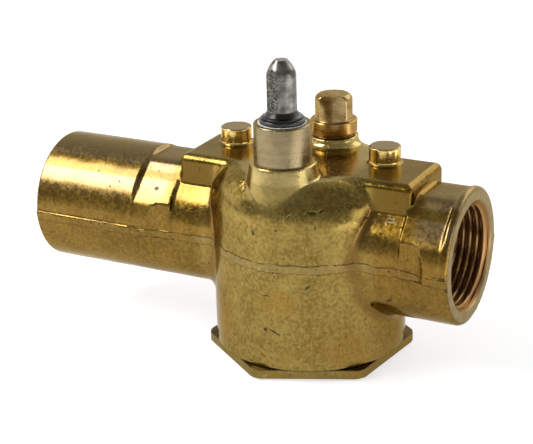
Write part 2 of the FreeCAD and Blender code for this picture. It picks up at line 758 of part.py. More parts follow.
def make_stem():
    """The steel stem with its rounded tip, driving flat, outer shoulder and ring groove."""
    body = new_body("stem", y=-stem_offset)
    top = size("stem_top")
    shoulder = spigot_top + size("wiper_height") + play
    flare = size("stem_flare_radius")
    shoulder_top = shoulder + size("stem_flare_height")
    washer_low = chamber_top - size("washer_thickness") - play
    ring_low = washer_low - size("ring_thickness")
    groove = stem_radius - size("ring_groove_depth")
    tip_low = top - size("stem_tip_length")
    chamfer = size("stem_chamfer")
    profile = [
        (0, stem_foot),
        (stem_radius - chamfer, stem_foot),
        (stem_radius, stem_foot + chamfer),
        (stem_radius, ring_low - snug),
        (groove, ring_low - snug),
        (groove, washer_low + snug),
        (stem_radius, washer_low + snug),
        (stem_radius, shoulder),
        (flare, shoulder),
        (flare, shoulder + size("stem_flare_rim")),
        (stem_radius, shoulder_top),
        (stem_radius, tip_low),
        (size("stem_tip_radius"), top),
        (0, top),
    ]
    turned(body, "shaft", profile, {9: -size("stem_flare_height"), 11: size("stem_tip_curve")})
    flat = size("stem_flat")
    sketch = new_sketch(body, "flat_profile", "XY_Plane", out=top, turn=size("stem_flat_turn"))
    rectangle(sketch, flat, stem_radius + bite, -stem_radius, stem_radius)
    feature(body, "Pocket", "driving_flat", sketch, top - shoulder_top - size("stem_flat_gap"))
    pin = size("arm_pin_radius")
    sketch = new_sketch(body, "pin_hole_profile", "YZ_Plane", up=port_height)
    circle(sketch, pin + snug / 2)
    feature(body, "Pocket", "pin_hole", sketch, Type="ThroughAll", Midplane=True)
    return body


def sleeve(name, low, height, inner, outer, chamfer=None):
    """A plain turned sleeve or washer round the stem."""
    body = new_body(name, y=-stem_offset)
    high = low + height
    if chamfer is None:
        profile = [(inner, low), (outer, low), (outer, high), (inner, high)]
    else:
        edge = outer - chamfer
        profile = [(inner, low), (outer, low), (outer, high - chamfer), (edge, high), (inner, high)]
    turned(body, "sleeve", profile)
    return body


def make_gland():
    """What seals and guides the stem in its bore, from the bottom up."""
    inner = stem_radius + running
    outer = gland_radius - snug
    section = size("oring_section")
    room = size("oring_room")
    ring_middle = stem_radius + size("seal_clearance") + section / 2
    lower_top = gland_floor + size("lower_bush_height")
    spacer_low = lower_top + room
    spacer_top = spacer_low + size("spacer_height")
    upper_low = spacer_top + room
    return [
        sleeve("lower_bush", gland_floor, size("lower_bush_height"), inner, outer),
        ring_solid("lower_oring", lower_top + section / 2, ring_middle, section, -stem_offset),
        sleeve("oring_spacer", spacer_low, size("spacer_height"), inner, outer),
        ring_solid("upper_oring", spacer_top + section / 2, ring_middle, section, -stem_offset),
        sleeve("upper_bush", upper_low, spigot_top - upper_low, inner, outer),
        sleeve("stem_wiper", spigot_top, size("wiper_height"), stem_radius + size("seal_clearance"),
               size("wiper_radius"), size("wiper_chamfer")),
    ]


def make_thrust_washer():
    """The washer that takes the water's upward push on the stem."""
    thickness = size("washer_thickness")
    return sleeve("thrust_washer", chamber_top - thickness, thickness, stem_radius + running * 2,
                  size("washer_radius"))


def make_retaining_ring():
    """The open ring that snaps into the stem's groove under the thrust washer."""
    body = new_body("retaining_ring", y=-stem_offset)
    thickness = size("ring_thickness")
    low = chamber_top - size("washer_thickness") - play - thickness
    outer = size("ring_radius")
    sketch = new_sketch(body, "ring_profile", "XY_Plane", out=low)
    circle(sketch, outer)
    circle(sketch, stem_radius - size("ring_groove_depth") + snug / 2)
    feature(body, "Pad", "ring", sketch, thickness)
    half_gap = size("ring_gap") / 2
    sketch = new_sketch(body, "gap_profile", "XY_Plane", out=low + thickness)
    rectangle(sketch, -half_gap, half_gap, -outer - bite, 0)
    feature(body, "Pocket", "gap", sketch, thickness)
    return body


def make_paddle_arm():
    """The arm that the stem swings: a hub on the stem and a blade ending in a disc."""
    body = new_body("paddle_arm", y=-stem_offset)
    hub = size("arm_hub_radius")
    sketch = new_sketch(body, "hub_profile", "XY_Plane", out=arm_low)
    circle(sketch, hub)
    feature(body, "Pad", "hub", sketch, size("arm_hub_height"))
    blade = size("arm_thickness")
    sketch = new_sketch(body, "disc_profile", "YZ_Plane", up=port_height, out=-arm_face)
    circle(sketch, size("arm_disc_radius"), stem_offset, 0)
    feature(body, "Pad", "disc", sketch, blade)
    sketch = new_sketch(body, "blade_profile", "YZ_Plane", up=port_height, out=-arm_face)
    half_width = size("arm_width") / 2
    rectangle(sketch, stem_radius, stem_offset, -half_width, half_width)
    feature(body, "Pad", "blade", sketch, blade)
    sketch = new_sketch(body, "bore_profile", "XY_Plane", out=arm_low)
    circle(sketch, stem_radius + snug / 2)
    feature(body, "Pocket", "bore", sketch, size("arm_hub_height"), Reversed=True)
    sketch = new_sketch(body, "cross_hole_profile", "YZ_Plane", up=port_height)
    circle(sketch, size("arm_pin_radius") + snug / 2)
    feature(body, "Pocket", "cross_hole", sketch, Type="ThroughAll", Midplane=True)
    sketch = new_sketch(body, "rivet_hole_profile", "YZ_Plane", up=port_height)
    circle(sketch, size("rivet_radius") + snug, stem_offset, 0)
    feature(body, "Pocket", "rivet_hole", sketch, Type="ThroughAll", Midplane=True)
    return body


def make_arm_pin():
    """The cross pin that keeps the arm on the stem."""
    body = new_body("arm_pin", y=-stem_offset)
    hub = size("arm_hub_radius")
    sketch = new_sketch(body, "pin_profile", "YZ_Plane", up=port_height, out=-hub)
    circle(sketch, size("arm_pin_radius"))
    feature(body, "Pad", "pin", sketch, hub * 2)
    return body


def make_plug():
    """The rubber plug that closes the seat, with a recess for its washer."""
    body = new_body("plug")
    face = -plug_face
    back = -arm_face
    edge = size("plug_edge")
    radius = size("plug_radius")
    hole = size("rivet_radius") + snug
    recess = size("plug_recess_radius")
    recess_floor = face + size("plug_recess_depth")
    profile = [
        (face, recess),
        (face, radius - edge),
        (face + edge, radius),
        (back - edge, radius),
        (back, radius - edge),
        (back, hole),
        (recess_floor, hole),
        (recess_floor, recess),
    ]
    turned_along(body, "rubber", profile)
    return body


def make_plug_fastening():
    """The washer and the rivet that hold the plug on the arm."""
    recess_floor = -plug_face + size("plug_recess_depth")
    washer = new_body("plug_washer")
    washer_face = recess_floor - size("plug_washer_thickness")
    shank = size("rivet_radius")
    profile = [
        (washer_face, shank + snug),
        (washer_face, size("plug_washer_radius")),
        (recess_floor, size("plug_washer_radius")),
        (recess_floor, shank + snug),
    ]
    turned_along(washer, "washer", profile)
    rivet = new_body("plug_rivet")
    head = size("rivet_head_height")
    tail_face = -arm_face + size("arm_thickness")
    tail = size("rivet_tail_height")
    profile = [
        (washer_face - head, 0),
        (washer_face - head, size("rivet_head_radius") / 2),
        (washer_face - head / 3, size("rivet_head_radius")),
        (washer_face, size("rivet_head_radius")),
        (washer_face, shank),
        (tail_face, shank),
        (tail_face, size("rivet_tail_radius")),
        (tail_face + tail / 2, size("rivet_tail_radius")),
        (tail_face + tail, size("rivet_tail_radius") / 2),
        (tail_face + tail, 0),
    ]
    turned_along(rivet, "rivet", profile)
    return [washer, rivet]


def make_guide_post():
    """The turned post screwed into the hub: shank, ringed neck, collar and flatted head."""
    body = new_body("guide_post", y=post_offset)
    face = size("hub_face")
    shank = size("post_screw_radius")
    ring = size("post_ring_radius")
    groove = ring - size("post_ring_depth")
    neck = size("post_neck")
    collar_low = face + neck
    collar_top = collar_low + size("post_collar_width")
    collar = size("post_collar_radius")
    head = size("post_head_radius")
    top = collar_top + size("post_head_length")
    rounding = size("post_head_round")
    chamfer = size("post_collar_chamfer")
    profile = [
        (0, face - size("post_screw_length")),
        (shank, face - size("post_screw_length")),
        (shank, face),
        (groove, face),
        (ring, face + neck / 4),
        (groove, face + neck / 2),
        (ring, face + neck * 0.75),
        (groove, collar_low),
        (collar, collar_low),
        (collar, collar_top - chamfer),
        (collar - chamfer, collar_top),
        (head, collar_top),
        (head, top - rounding),
        (head - rounding, top),
        (0, top),
    ]
    turned(body, "post", profile, {12: rounding})
    flat = size("post_flat")
    for name, side in (("front_flat", 1), ("back_flat", -1)):
        sketch = new_sketch(body, f"{name}_profile", "XY_Plane", out=top, turn=size("post_turn"))
        rectangle(sketch, flat * side, (head + bite) * side, -head, head)
        feature(body, "Pocket", name, sketch, top - collar_top - size("post_flat_gap"))
    return body


def check_document(pieces):
    """Stops on any failed feature, and on any piece that isn't one sound solid."""
    doc.recompute()
    for item in doc.Objects:
        if "Invalid" in item.State or "Error" in item.State:
            raise RuntimeError(f"{item.Label} failed: {item.State}")
    for piece in pieces:
        shape = piece.Shape
        if shape.isNull() or not shape.isValid() or len(shape.Solids) != 1:
            raise RuntimeError(f"{piece.Label} isn't one sound solid")


pieces = [
    make_valve_body(),
    make_bottom_cap(),
    make_bottom_cap_seal(),
    make_seat_nozzle(),
    make_stem(),
    *make_gland(),
    make_thrust_washer(),
    make_retaining_ring(),
    make_paddle_arm(),
    make_arm_pin(),
    make_plug(),
    *make_plug_fastening(),
    make_guide_post(),
]
check_document(pieces)
os.makedirs("parts", exist_ok=True)
for piece in pieces:
    piece.Shape.exportStep(f"parts/{piece.Label}.step")
    print(f"{piece.Label}: {piece.Shape.Volume:.1f} cubic millimetres")
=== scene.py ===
# %% [markdown]
# A brass valve body is one forging with a few turned surfaces, a hexagonal cap, a steel stem and
# a guide post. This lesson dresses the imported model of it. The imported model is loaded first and
# never moved: each new piece is worked out in the same frame and rides on one of its two bodies.

import math

import bpy
import numpy as np
from mathutils import Matrix, Vector


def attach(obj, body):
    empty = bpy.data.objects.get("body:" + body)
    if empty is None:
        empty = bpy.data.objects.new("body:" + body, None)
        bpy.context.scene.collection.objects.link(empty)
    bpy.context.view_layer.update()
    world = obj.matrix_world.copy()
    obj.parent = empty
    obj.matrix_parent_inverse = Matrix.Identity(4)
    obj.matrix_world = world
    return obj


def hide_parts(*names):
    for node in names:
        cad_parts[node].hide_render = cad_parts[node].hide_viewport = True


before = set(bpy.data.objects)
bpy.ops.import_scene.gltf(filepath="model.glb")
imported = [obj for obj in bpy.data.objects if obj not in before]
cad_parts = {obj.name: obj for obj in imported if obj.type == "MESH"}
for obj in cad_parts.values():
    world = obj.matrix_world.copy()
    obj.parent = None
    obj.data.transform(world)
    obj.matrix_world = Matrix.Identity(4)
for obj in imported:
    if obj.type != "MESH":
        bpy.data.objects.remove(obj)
bpy.context.view_layer.update()
scene = bpy.context.scene
MM = 0.001

# %% [markdown]
# The camera looks down a little from the front right, with a long lens. It could be given as a
# matrix, but nobody can read one. So its place, which comes from a fit of the part's edges to the
# photograph, is kept as a few plain angles and lengths.

# %% Camera
VIEW_TURN = math.radians(27.484)
VIEW_RISE = math.radians(20.474)
VIEW_ROLL = math.radians(-1.384)
VIEW_DISTANCE = 391.4 * MM
VIEW_TARGET = Vector((-9.765, 0, 34.811)) * MM
FOCAL_PIXELS = 1531
CENTRE_PIXEL = (275.2, 210.3)
IMAGE_SIZE = (533, 444)
SENSOR_WIDTH = 36


def place_camera():
    """A camera that looks along the fitted direction, rolled about it, with a small lens shift."""
    back = Vector((math.sin(VIEW_TURN) * math.cos(VIEW_RISE),
                   -math.cos(VIEW_TURN) * math.cos(VIEW_RISE),
                   math.sin(VIEW_RISE)))
    right = (-back).cross(Vector((0, 0, 1))).normalized()
    up = back.cross(right)
    rolled_right = right * math.cos(VIEW_ROLL) + up * math.sin(VIEW_ROLL)
    rolled_up = up * math.cos(VIEW_ROLL) - right * math.sin(VIEW_ROLL)
    lens = bpy.data.cameras.new("camera")
    lens.sensor_width = SENSOR_WIDTH
    lens.lens = FOCAL_PIXELS * SENSOR_WIDTH / IMAGE_SIZE[0]
    lens.shift_x = (IMAGE_SIZE[0] / 2 - CENTRE_PIXEL[0]) / IMAGE_SIZE[0]
    lens.shift_y = (CENTRE_PIXEL[1] - IMAGE_SIZE[1] / 2) / IMAGE_SIZE[0]
    camera = bpy.data.objects.new("camera", lens)
    scene.collection.objects.link(camera)
    place = Matrix((rolled_right, rolled_up, back)).transposed().to_4x4()
    place.translation = VIEW_TARGET + back * VIEW_DISTANCE
    camera.matrix_world = place
    scene.camera = camera
    return camera


camera = place_camera()
print("lens", round(camera.data.lens, 2),
      "shift", round(camera.data.shift_x, 4), round(camera.data.shift_y, 4))

# %% [markdown]
# A new piece is an array of points and an array of faces. One helper puts both into a mesh, lets
# the piece ride on its body and hides the imported nodes that it stands for. Whole arrays go in at
# once, because a loop over points takes minutes on a large skin.

# %% Put arrays into a piece
def enclosed_volume(points, faces):
    """Volume inside closed faces: the sum of the tetrahedra from the origin to each triangle."""
    total = 0.0
    for group in faces:
        for k in range(1, group.shape[1] - 1):
            first, second, third = points[group[:, 0]], points[group[:, k]], points[group[:, k + 1]]
            total += (first * np.cross(second, third)).sum() / 6
    return total


def add_piece(name, points, faces, body, replaces=(), normals=None, crease=35):
    """A mesh from points in millimetres and arrays of faces, turned outwards, riding on a body."""
    points = np.asarray(points, np.float64)
    if enclosed_volume(points, faces) < 0:
        faces = [group[:, ::-1] for group in faces]
    sizes = np.concatenate([np.full(len(group), group.shape[1]) for group in faces])
    mesh = bpy.data.meshes.new(name)
    mesh.vertices.add(len(points))
    mesh.vertices.foreach_set("co", (points * MM).astype(np.float32).ravel())
    mesh.loops.add(int(sizes.sum()))
    loops = np.concatenate([group.ravel() for group in faces])
    mesh.loops.foreach_set("vertex_index", loops.astype(np.int32))
    count = len(sizes)
    mesh.polygons.add(count)
    mesh.polygons.foreach_set("loop_start", (np.cumsum(sizes) - sizes).astype(np.int32))
    mesh.polygons.foreach_set("use_smooth", np.ones(count, bool))
    mesh.update(calc_edges=True)
    mesh.validate()
    if normals is None:
        mesh.set_sharp_from_angle(angle=math.radians(crease))
    else:
        mesh.normals_split_custom_set_from_vertices(normals.astype(np.float32))
    piece = bpy.data.objects.new(name, mesh)
    scene.collection.objects.link(piece)
    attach(piece, body)
    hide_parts(*replaces)
    print(name, len(points), "points", count, "faces")
    return piece

# %% [markdown]
# A forging has no sharp inner corner: its blocks run into each other with fillets. So its skin is
# worked out as a field, a number at every point of space that is negative inside the metal. Two
# blocks are joined by a formula that rounds the corner between their fields, which is far simpler
# than filleting a mesh where five surfaces meet.

# %% Rounded joins and meets of two fields
def join(first, second, fillet):
    """Union: the lesser field, less a quarter circle of the fillet's radius in the inner corner."""
    corner = np.hypot(np.maximum(fillet - first, 0), np.maximum(fillet - second, 0))
    return np.maximum(fillet, np.minimum(first, second)) - corner


def meet(first, second, rounding):
    """Intersection: the greater field, with the outer corner rounded to that radius."""
    corner = np.hypot(np.maximum(rounding + first, 0), np.maximum(rounding + second, 0))
    return np.minimum(-rounding, np.maximum(first, second)) + corner


def cut(solid, hole, rounding):
    """The solid without the hole, with the hole's rim rounded."""
    return meet(solid, -hole, rounding)


print("two walls that meet, joined with a fillet of 1:", round(float(join(0.0, 0.0, 1.0)), 3))

# %% [markdown]
# The sizes of the forging, in millimetres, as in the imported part: the barrel stands on the cap,
# the ports run along X, the slab lies across them and the stem stands in front of the middle. They
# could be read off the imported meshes, but a size with a name says what it is for.

# %% Sizes of the forging
FOOT = 2.9
PORT_HEIGHT = 30.9
SLAB_TOP = 50.2
BARREL_RADIUS = 24.55
BARREL_DRAFT = 0.2
SHOULDER_CURVE = 13.1
SHOULDER_HEIGHT = 39.514
BARREL_EDGE = 1.5
LEFT_REACH = 72.4
RIGHT_REACH = 43.4
LEFT_RADIUS = 16.85
RIGHT_RADIUS = 17.15
NECK_RADIUS = 15.45
LEFT_FLATS = (32.0, 43.0)
RIGHT_FLATS = (30.6, 41.5)
FLATS_SIDE = 15.6
FLATS_CORNERS = (math.radians(26.5), math.radians(69.5))
SLAB_HALF = 31.7
SLAB_FRONT = 10.0
SLAB_BACK = 10.8
SLAB_LOW = 42.6
STEM_Y = -14.0
BOSS_RADIUS = 8.1
BOSS_FACE = 53.9
BOSS_DRAFT = 2.1 / 11.9
POST_Y = 15.0
HUB_RADIUS = 6.3
HUB_FACE = 52.3
HUB_BORE = 3.0
HUB_BORE_DEPTH = 9
PIN_RADIUS = 3.97
PIN_TOP = 54.55
PINS = ((-22.9, 4.7), (18.65, 4.7))
CHAMBER_RADIUS = 19.0
CHAMBER_TOP = 43.5
CAP_BORE = 20.0
CAP_BORE_TOP = 13.0
LEFT_WATERWAY = 11.8
RIGHT_WATERWAY = 10.5
THREAD_LENGTH = 18.0
SLEEVE_ROOM = 14.6
GLAND_RADIUS = 6.0
GLAND_FLOOR = 46.5
STEM_WAY = 3.84
BAND_MIDDLE = 29.95
BAND_HALF = 1.05
BAND_PROUD = 0.14
BELLY_DROP = 5.6
print("forging", LEFT_REACH + RIGHT_REACH, "long,", PIN_TOP - FOOT, "high")

# %% [markdown]
# A forging die is cut with a ball-nosed cutter, so each corner of the part has a radius. Edges are
# outer corners and fillets are inner ones. They are kept apart from the sizes, because the packed
# part has only the large ones, and a skin looks cast in plastic when all of them are equal.

# %% Edges and fillets of the forging
SLAB_CORNER = 1.5
SLAB_EDGE = 2.0
SLAB_LOW_EDGE = 1.2
FLAT_EDGE = 0.7
FLAT_TOP_EDGE = 0.9
FLAT_LOW_EDGE = 0.5
FLAT_END_EDGE = 0.4
RUN_END_EDGE = 0.6
BELLY_EDGE = 4
LEFT_RIM = 0.6
RIGHT_RIM = 1.1
BOSS_SIDE_EDGE = 0.3
BOSS_FACE_EDGE = 0.35
HUB_EDGE = 0.4
PIN_EDGE = 0.25
BAND_EDGE = 0.12
FOOT_EDGE = 0.35
HOLE_EDGE = 0.2
RUN_FILLET = 0.8
NECK_FILLET = 0.5
PORT_FILLET = 0.9
BELLY_FILLET = 1.6
SLAB_FILLET = 1.2
BOSS_FILLET = 0.5
HUB_FILLET = 1.9
PIN_FILLET = 0.7
BAND_FILLET = 0.1
print("edges from", BAND_EDGE, "to", BELLY_EDGE)

# %% [markdown]
# The barrel is a round body whose shoulder is a large arc. Turned as a mesh it would need its holes
# for the ports cut out. As a field it is a rounded rectangle in the plane of radius and height, a
# little wider at the top than at the foot, and the ports are simply joined to it.

# %% Barrel
def barrel_field(x, y, z):
    """Distance to a rounded rectangle in radius and height, whose radius grows with the draft."""
    lost = BARREL_DRAFT * np.clip((SHOULDER_HEIGHT - z) / (SHOULDER_HEIGHT - FOOT), 0, 1)
    out = np.hypot(x, y) + lost - (BARREL_RADIUS - SHOULDER_CURVE)
    above = z - SHOULDER_HEIGHT
    corner = np.hypot(np.maximum(out, 0), np.maximum(above, 0))
    return corner + np.minimum(np.maximum(out, above), 0) - SHOULDER_CURVE


print("barrel's side at mid height:", round(float(barrel_field(BARREL_RADIUS, 0, PORT_HEIGHT)), 3), "off")

# %% [markdown]
# Each port is a round tube that was squeezed between two dies. Above the parting line it has
# wrench flats and a thinner neck up to the barrel. Below it there is a round belly with drafted
# sides. The flats could be cut with boxes, but lines across the section let their ends run out.

# %% Ports
SECTION_DROP = 2
FLATS_OVERLAP = 0.3
RUNOUT_DEPTH = 6
RUNOUT_LENGTH = 8
END_GAP = 0.05


def facet(across, up, start, end):
    """Signed distance to the line through two points, positive on its right."""
    run = end[0] - start[0]
    rise = end[1] - start[1]
    length = math.hypot(run, rise)
    return ((across - start[0]) * rise - (up - start[1]) * run) / length


def port_field(x, y, z, side, reach, radius, flats, rim):
    """A port on one side: run, flats and neck joined above, a round belly with drafted sides below.

    The runout grows with the square of the way along the flats' last stretch. It moves their lower
    sides outwards until the round run covers them, so that no step is left below the facet.
    """
    along = side * x
    up = z - PORT_HEIGHT
    across = np.abs(y)
    round_field = np.hypot(y, up) - radius
    low = (radius * math.cos(FLATS_CORNERS[0]), radius * math.sin(FLATS_CORNERS[0]))
    high = (radius * math.cos(FLATS_CORNERS[1]), radius * math.sin(FLATS_CORNERS[1]))
    runout = RUNOUT_DEPTH * np.clip(1 + (along - flats[1]) / RUNOUT_LENGTH, 0, 1) ** 2
    lower_side = np.maximum(facet(across, up, (FLATS_SIDE, 0), low) - runout, round_field)
    sides = meet(lower_side, facet(across, up, low, high), FLAT_EDGE)
    section = meet(sides, up - high[1], FLAT_TOP_EDGE)
    section = meet(section, -up - SECTION_DROP, FLAT_LOW_EDGE)
    past_flats = np.maximum(flats[0] - along, along - flats[1] - FLATS_OVERLAP)
    flats_field = meet(section, past_flats, FLAT_END_EDGE)
    run_field = meet(round_field, flats[1] - along, RUN_END_EDGE)
    neck_field = np.hypot(y, up) - NECK_RADIUS
    belly_reach = math.sqrt(radius ** 2 - BELLY_DROP ** 2)
    drafted = -facet(across, up, (FLATS_SIDE, 0), (belly_reach, -BELLY_DROP)) - runout
    belly = np.maximum(meet(round_field, drafted, BELLY_EDGE), up)
    upper = join(join(run_field, flats_field, RUN_FILLET), neck_field, NECK_FILLET)
    port = join(upper, belly, RUN_FILLET * np.clip(1 + up / BELLY_DROP, 0.01, 1))
    port = meet(port, along - reach, rim)
    return np.maximum(port, -along)


print("flats on the left port are", LEFT_FLATS[1] - LEFT_FLATS[0], "long")

# %% [markdown]
# The slab is a flat block across both ports, on which the actuator rests. The boss under the stem
# leans outwards on the way down, as a forged boss must to leave its die, and ends in a point on the
# barrel's side. A separate cone would need that curved end traced; met with the barrel it is free.

# %% Slab, boss, hub and pins
BOSS_INSET = 0.1


def slab_field(x, y, z):
    """A block with rounded upright corners, open at the top, where the common flat cuts it."""
    middle = (SLAB_BACK - SLAB_FRONT) / 2
    half = (SLAB_BACK + SLAB_FRONT) / 2
    block = meet(np.abs(x) - SLAB_HALF, np.abs(y - middle) - half, SLAB_CORNER)
    return meet(block, SLAB_LOW - z, SLAB_LOW_EDGE)


def boss_field(x, y, z):
    """A leaning cone about the stem's axis, inside the barrel's side."""
    slope = math.hypot(1, BOSS_DRAFT)
    cone = (np.hypot(x, y - STEM_Y) - BOSS_RADIUS - BOSS_DRAFT * (BOSS_FACE - z)) / slope
    side = np.hypot(x, y) - BARREL_RADIUS + BOSS_INSET
    ends = np.maximum(z - BOSS_FACE, PORT_HEIGHT - z)
    return meet(meet(cone, side, BOSS_SIDE_EDGE), ends, BOSS_FACE_EDGE)


def post_field(x, y, z, centre_x, centre_y, radius, top, edge):
    """An upright round post."""
    return meet(np.hypot(x - centre_x, y - centre_y) - radius,
                np.maximum(z - top, PORT_HEIGHT - z), edge)


print("draft of the boss:", round(math.degrees(math.atan(BOSS_DRAFT)), 1), "degrees")

# %% [markdown]
# The outside is the sum of these blocks, with a fillet of its own at each join. A hammered skin is
# never quite true, so a few long waves are added to it. They fade out where a turned piece starts,
# and so does the thin band that stands proud where the two dies met.

# %% The forging's outside
WAVE_HEIGHT = 0.05
BELLY_FILLET_RISE = 6
SLAB_EDGE_BLEND = 3
FOOT_FADE = 3
END_FADE = 2


def waviness(x, y, z):
    """Two products of long sine waves along slanted directions, averaged."""
    return (np.sin(0.31 * x + 0.23 * y + 1.0) * np.sin(0.37 * z - 0.21 * x + 0.5)
            + np.sin(0.53 * y + 0.19 * z) * np.sin(0.47 * x + 2.0)) / 2


def ports_field(x, y, z):
    """Both ports, each a hair short of its turned end."""
    left = port_field(x, y, z, -1, LEFT_REACH - END_GAP, LEFT_RADIUS, LEFT_FLATS, LEFT_RIM)
    right = port_field(x, y, z, 1, RIGHT_REACH - END_GAP, RIGHT_RADIUS, RIGHT_FLATS, RIGHT_RIM)
    return np.minimum(left, right)


def outside_field(x, y, z):
    """The forging's outside with its parting band."""
    root = PORT_FILLET + BELLY_FILLET * np.clip((PORT_HEIGHT - z) / BELLY_FILLET_RISE, 0, 1)
    solid = join(barrel_field(x, y, z), ports_field(x, y, z), root)
    solid = join(solid, slab_field(x, y, z), SLAB_FILLET)
    past_slab = np.clip((np.abs(y) - SLAB_BACK) / SLAB_EDGE_BLEND, 0, 1)
    solid = meet(solid, z - SLAB_TOP, SLAB_EDGE + (BARREL_EDGE - SLAB_EDGE) * past_slab)
    solid = join(solid, boss_field(x, y, z), BOSS_FILLET)
    hub = post_field(x, y, z, 0, POST_Y, HUB_RADIUS, HUB_FACE, HUB_EDGE)
    solid = join(solid, hub, HUB_FILLET)
    for pin_x, pin_y in PINS:
        pin = post_field(x, y, z, pin_x, pin_y, PIN_RADIUS, PIN_TOP, PIN_EDGE)
        solid = join(solid, pin, PIN_FILLET)
    fade = np.clip((z - FOOT) / FOOT_FADE, 0, 1)
    for room in (RIGHT_REACH - x, x + LEFT_REACH, PIN_TOP - z):
        fade = fade * np.clip((room - END_FADE) / END_FADE, 0, 1)
    solid = solid + WAVE_HEIGHT * fade * waviness(x, y, z)
    band = meet(solid - BAND_PROUD * fade, np.abs(z - BAND_MIDDLE) - BAND_HALF, BAND_EDGE)
    return meet(join(solid, band, BAND_FILLET), FOOT - z, FOOT_EDGE)


print("outside above the slab:", round(float(outside_field(0.0, 0.0, SLAB_TOP + 1)), 2))

# %% [markdown]
# Inside there are the chamber, the two waterways and the bores for what is screwed or pressed in.
# Each bore is a field as well, and is taken away with a rounded rim. Those that a turned sleeve
# lines are a little longer than the sleeve, so that the two never share a wall.

# %% The forging's bores
SLEEVE_GAP = 0.4
GLAND_ROOM = 0.5
OPEN_END = 1


def bore_field(along, radial, start, end, radius):
    """A round bore between two distances."""
    return np.maximum(radial - radius, np.maximum(start - along, along - end))


def forging_field(x, y, z):
    """The outside less every bore."""
    solid = outside_field(x, y, z)
    radial = np.hypot(y, z - PORT_HEIGHT)
    from_axis = np.hypot(x, y)
    from_stem = np.hypot(x, y - STEM_Y)
    from_post = np.hypot(x, y - POST_Y)
    sleeve = THREAD_LENGTH + SLEEVE_GAP
    holes = [
        bore_field(z, from_axis, 0, CHAMBER_TOP, CHAMBER_RADIUS),
        bore_field(z, from_axis, 0, CAP_BORE_TOP, CAP_BORE),
        bore_field(-x, radial, 0, LEFT_REACH, LEFT_WATERWAY),
        bore_field(x, radial, 0, RIGHT_REACH, RIGHT_WATERWAY),
        bore_field(-x, radial, LEFT_REACH - sleeve, LEFT_REACH + OPEN_END, SLEEVE_ROOM),
        bore_field(x, radial, RIGHT_REACH - sleeve, RIGHT_REACH + OPEN_END, SLEEVE_ROOM),
        bore_field(z, from_stem, GLAND_FLOOR - SLEEVE_GAP, BOSS_FACE + OPEN_END, GLAND_RADIUS + GLAND_ROOM),
        bore_field(z, from_stem, CHAMBER_TOP - OPEN_END, GLAND_FLOOR, STEM_WAY),
        bore_field(z, from_post, HUB_FACE - HUB_BORE_DEPTH, HUB_FACE + OPEN_END, HUB_BORE),
    ]
    for hole in holes:
        solid = cut(solid, hole, HOLE_EDGE)
    return solid


print("in the chamber the field is", round(float(forging_field(0.0, 0.0, PORT_HEIGHT)), 2))

# %% [markdown]
# The field becomes a mesh by surface nets. Space is cut into small cells, every cell that the
# surface crosses gets one point, and each crossed cell edge gets a face between its four cells.
# Marching cubes would do as well, but its thin triangles spoil the highlights.

# %% Points of the surface net
def graded(stretches):
    """Grid lines whose spacing changes from stretch to stretch: (start, end, spacing) each."""
    lines = [np.linspace(start, end, max(2, round((end - start) / spacing) + 1))[:-1]
             for start, end, spacing in stretches]
    return np.concatenate(lines + [np.array([stretches[-1][1]])])


CORNERS = [(a, b, c) for a in (0, 1) for b in (0, 1) for c in (0, 1)]
EDGES = [(p, q) for p in CORNERS for q in CORNERS
         if p < q and sum(abs(s - t) for s, t in zip(p, q)) == 1]


def crossed_cells(inside):
    """The cells with some corners inside and some outside, and a grid that holds their numbers."""
    wide, deep, high = (size - 1 for size in inside.shape)
    count = sum(inside[a:wide + a, b:deep + b, c:high + c].astype(np.int8) for a, b, c in CORNERS)
    cell = np.nonzero((count > 0) & (count < len(CORNERS)))
    number = np.full(count.shape, -1, np.int64)
    number[cell] = np.arange(len(cell[0]))
    return cell, number


def net_points(values, grids, cell):
    """For each crossed cell, the mean of the places where its edges meet the zero of the field."""
    total = np.zeros((len(cell[0]), 3))
    crossings = np.zeros(len(cell[0]))
    for first, second in EDGES:
        at_first = tuple(cell[k] + first[k] for k in range(3))
        at_second = tuple(cell[k] + second[k] for k in range(3))
        start = values[at_first]
        end = values[at_second]
        crossed = (start < 0) != (end < 0)
        share = np.where(crossed, start / np.where(crossed, start - end, 1), 0)
        for k in range(3):
            low = grids[k][at_first[k]]
            high = grids[k][at_second[k]]
            total[:, k] += np.where(crossed, low + (high - low) * share, 0)
        crossings += crossed
    return total / crossings[:, None]


print("a cell has", len(CORNERS), "corners and", len(EDGES), "edges")

# %% [markdown]
# A face belongs to a grid edge with one end in the metal and one outside it. Its corners are the
# points of the four cells round that edge, taken the other way about when the metal lies ahead, so
# that all faces point outwards.

# %% Faces of the surface net
RING = ((0, 0), (1, 0), (1, 1), (0, 1))


def net_faces(inside, number):
    """For each axis, the four cells round every grid edge that leaves or enters the metal."""
    faces = []
    for axis in range(3):
        after, before = (axis + 1) % 3, (axis + 2) % 3
        low = [slice(None)] * 3
        high = [slice(None)] * 3
        low[axis], high[axis] = slice(0, -1), slice(1, None)
        for other in (after, before):
            low[other] = slice(1, -1)
            high[other] = slice(1, -1)
        going_out = inside[tuple(low)] & ~inside[tuple(high)]
        going_in = ~inside[tuple(low)] & inside[tuple(high)]
        for crossed, way in ((going_out, 1), (going_in, -1)):
            at = list(np.nonzero(crossed))
            ring = []
            for step_after, step_before in RING[::way]:
                place = list(at)
                place[after] = at[after] + step_after
                place[before] = at[before] + step_before
                ring.append(number[tuple(place)])
            faces.append(np.stack(ring, 1))
    return np.concatenate(faces)

# %% [markdown]
# The net's points lie near the surface, not on it. Each steps down the field until it does, and
# takes its normal from the field's slope, so highlights run smoothly however coarse the cells are.

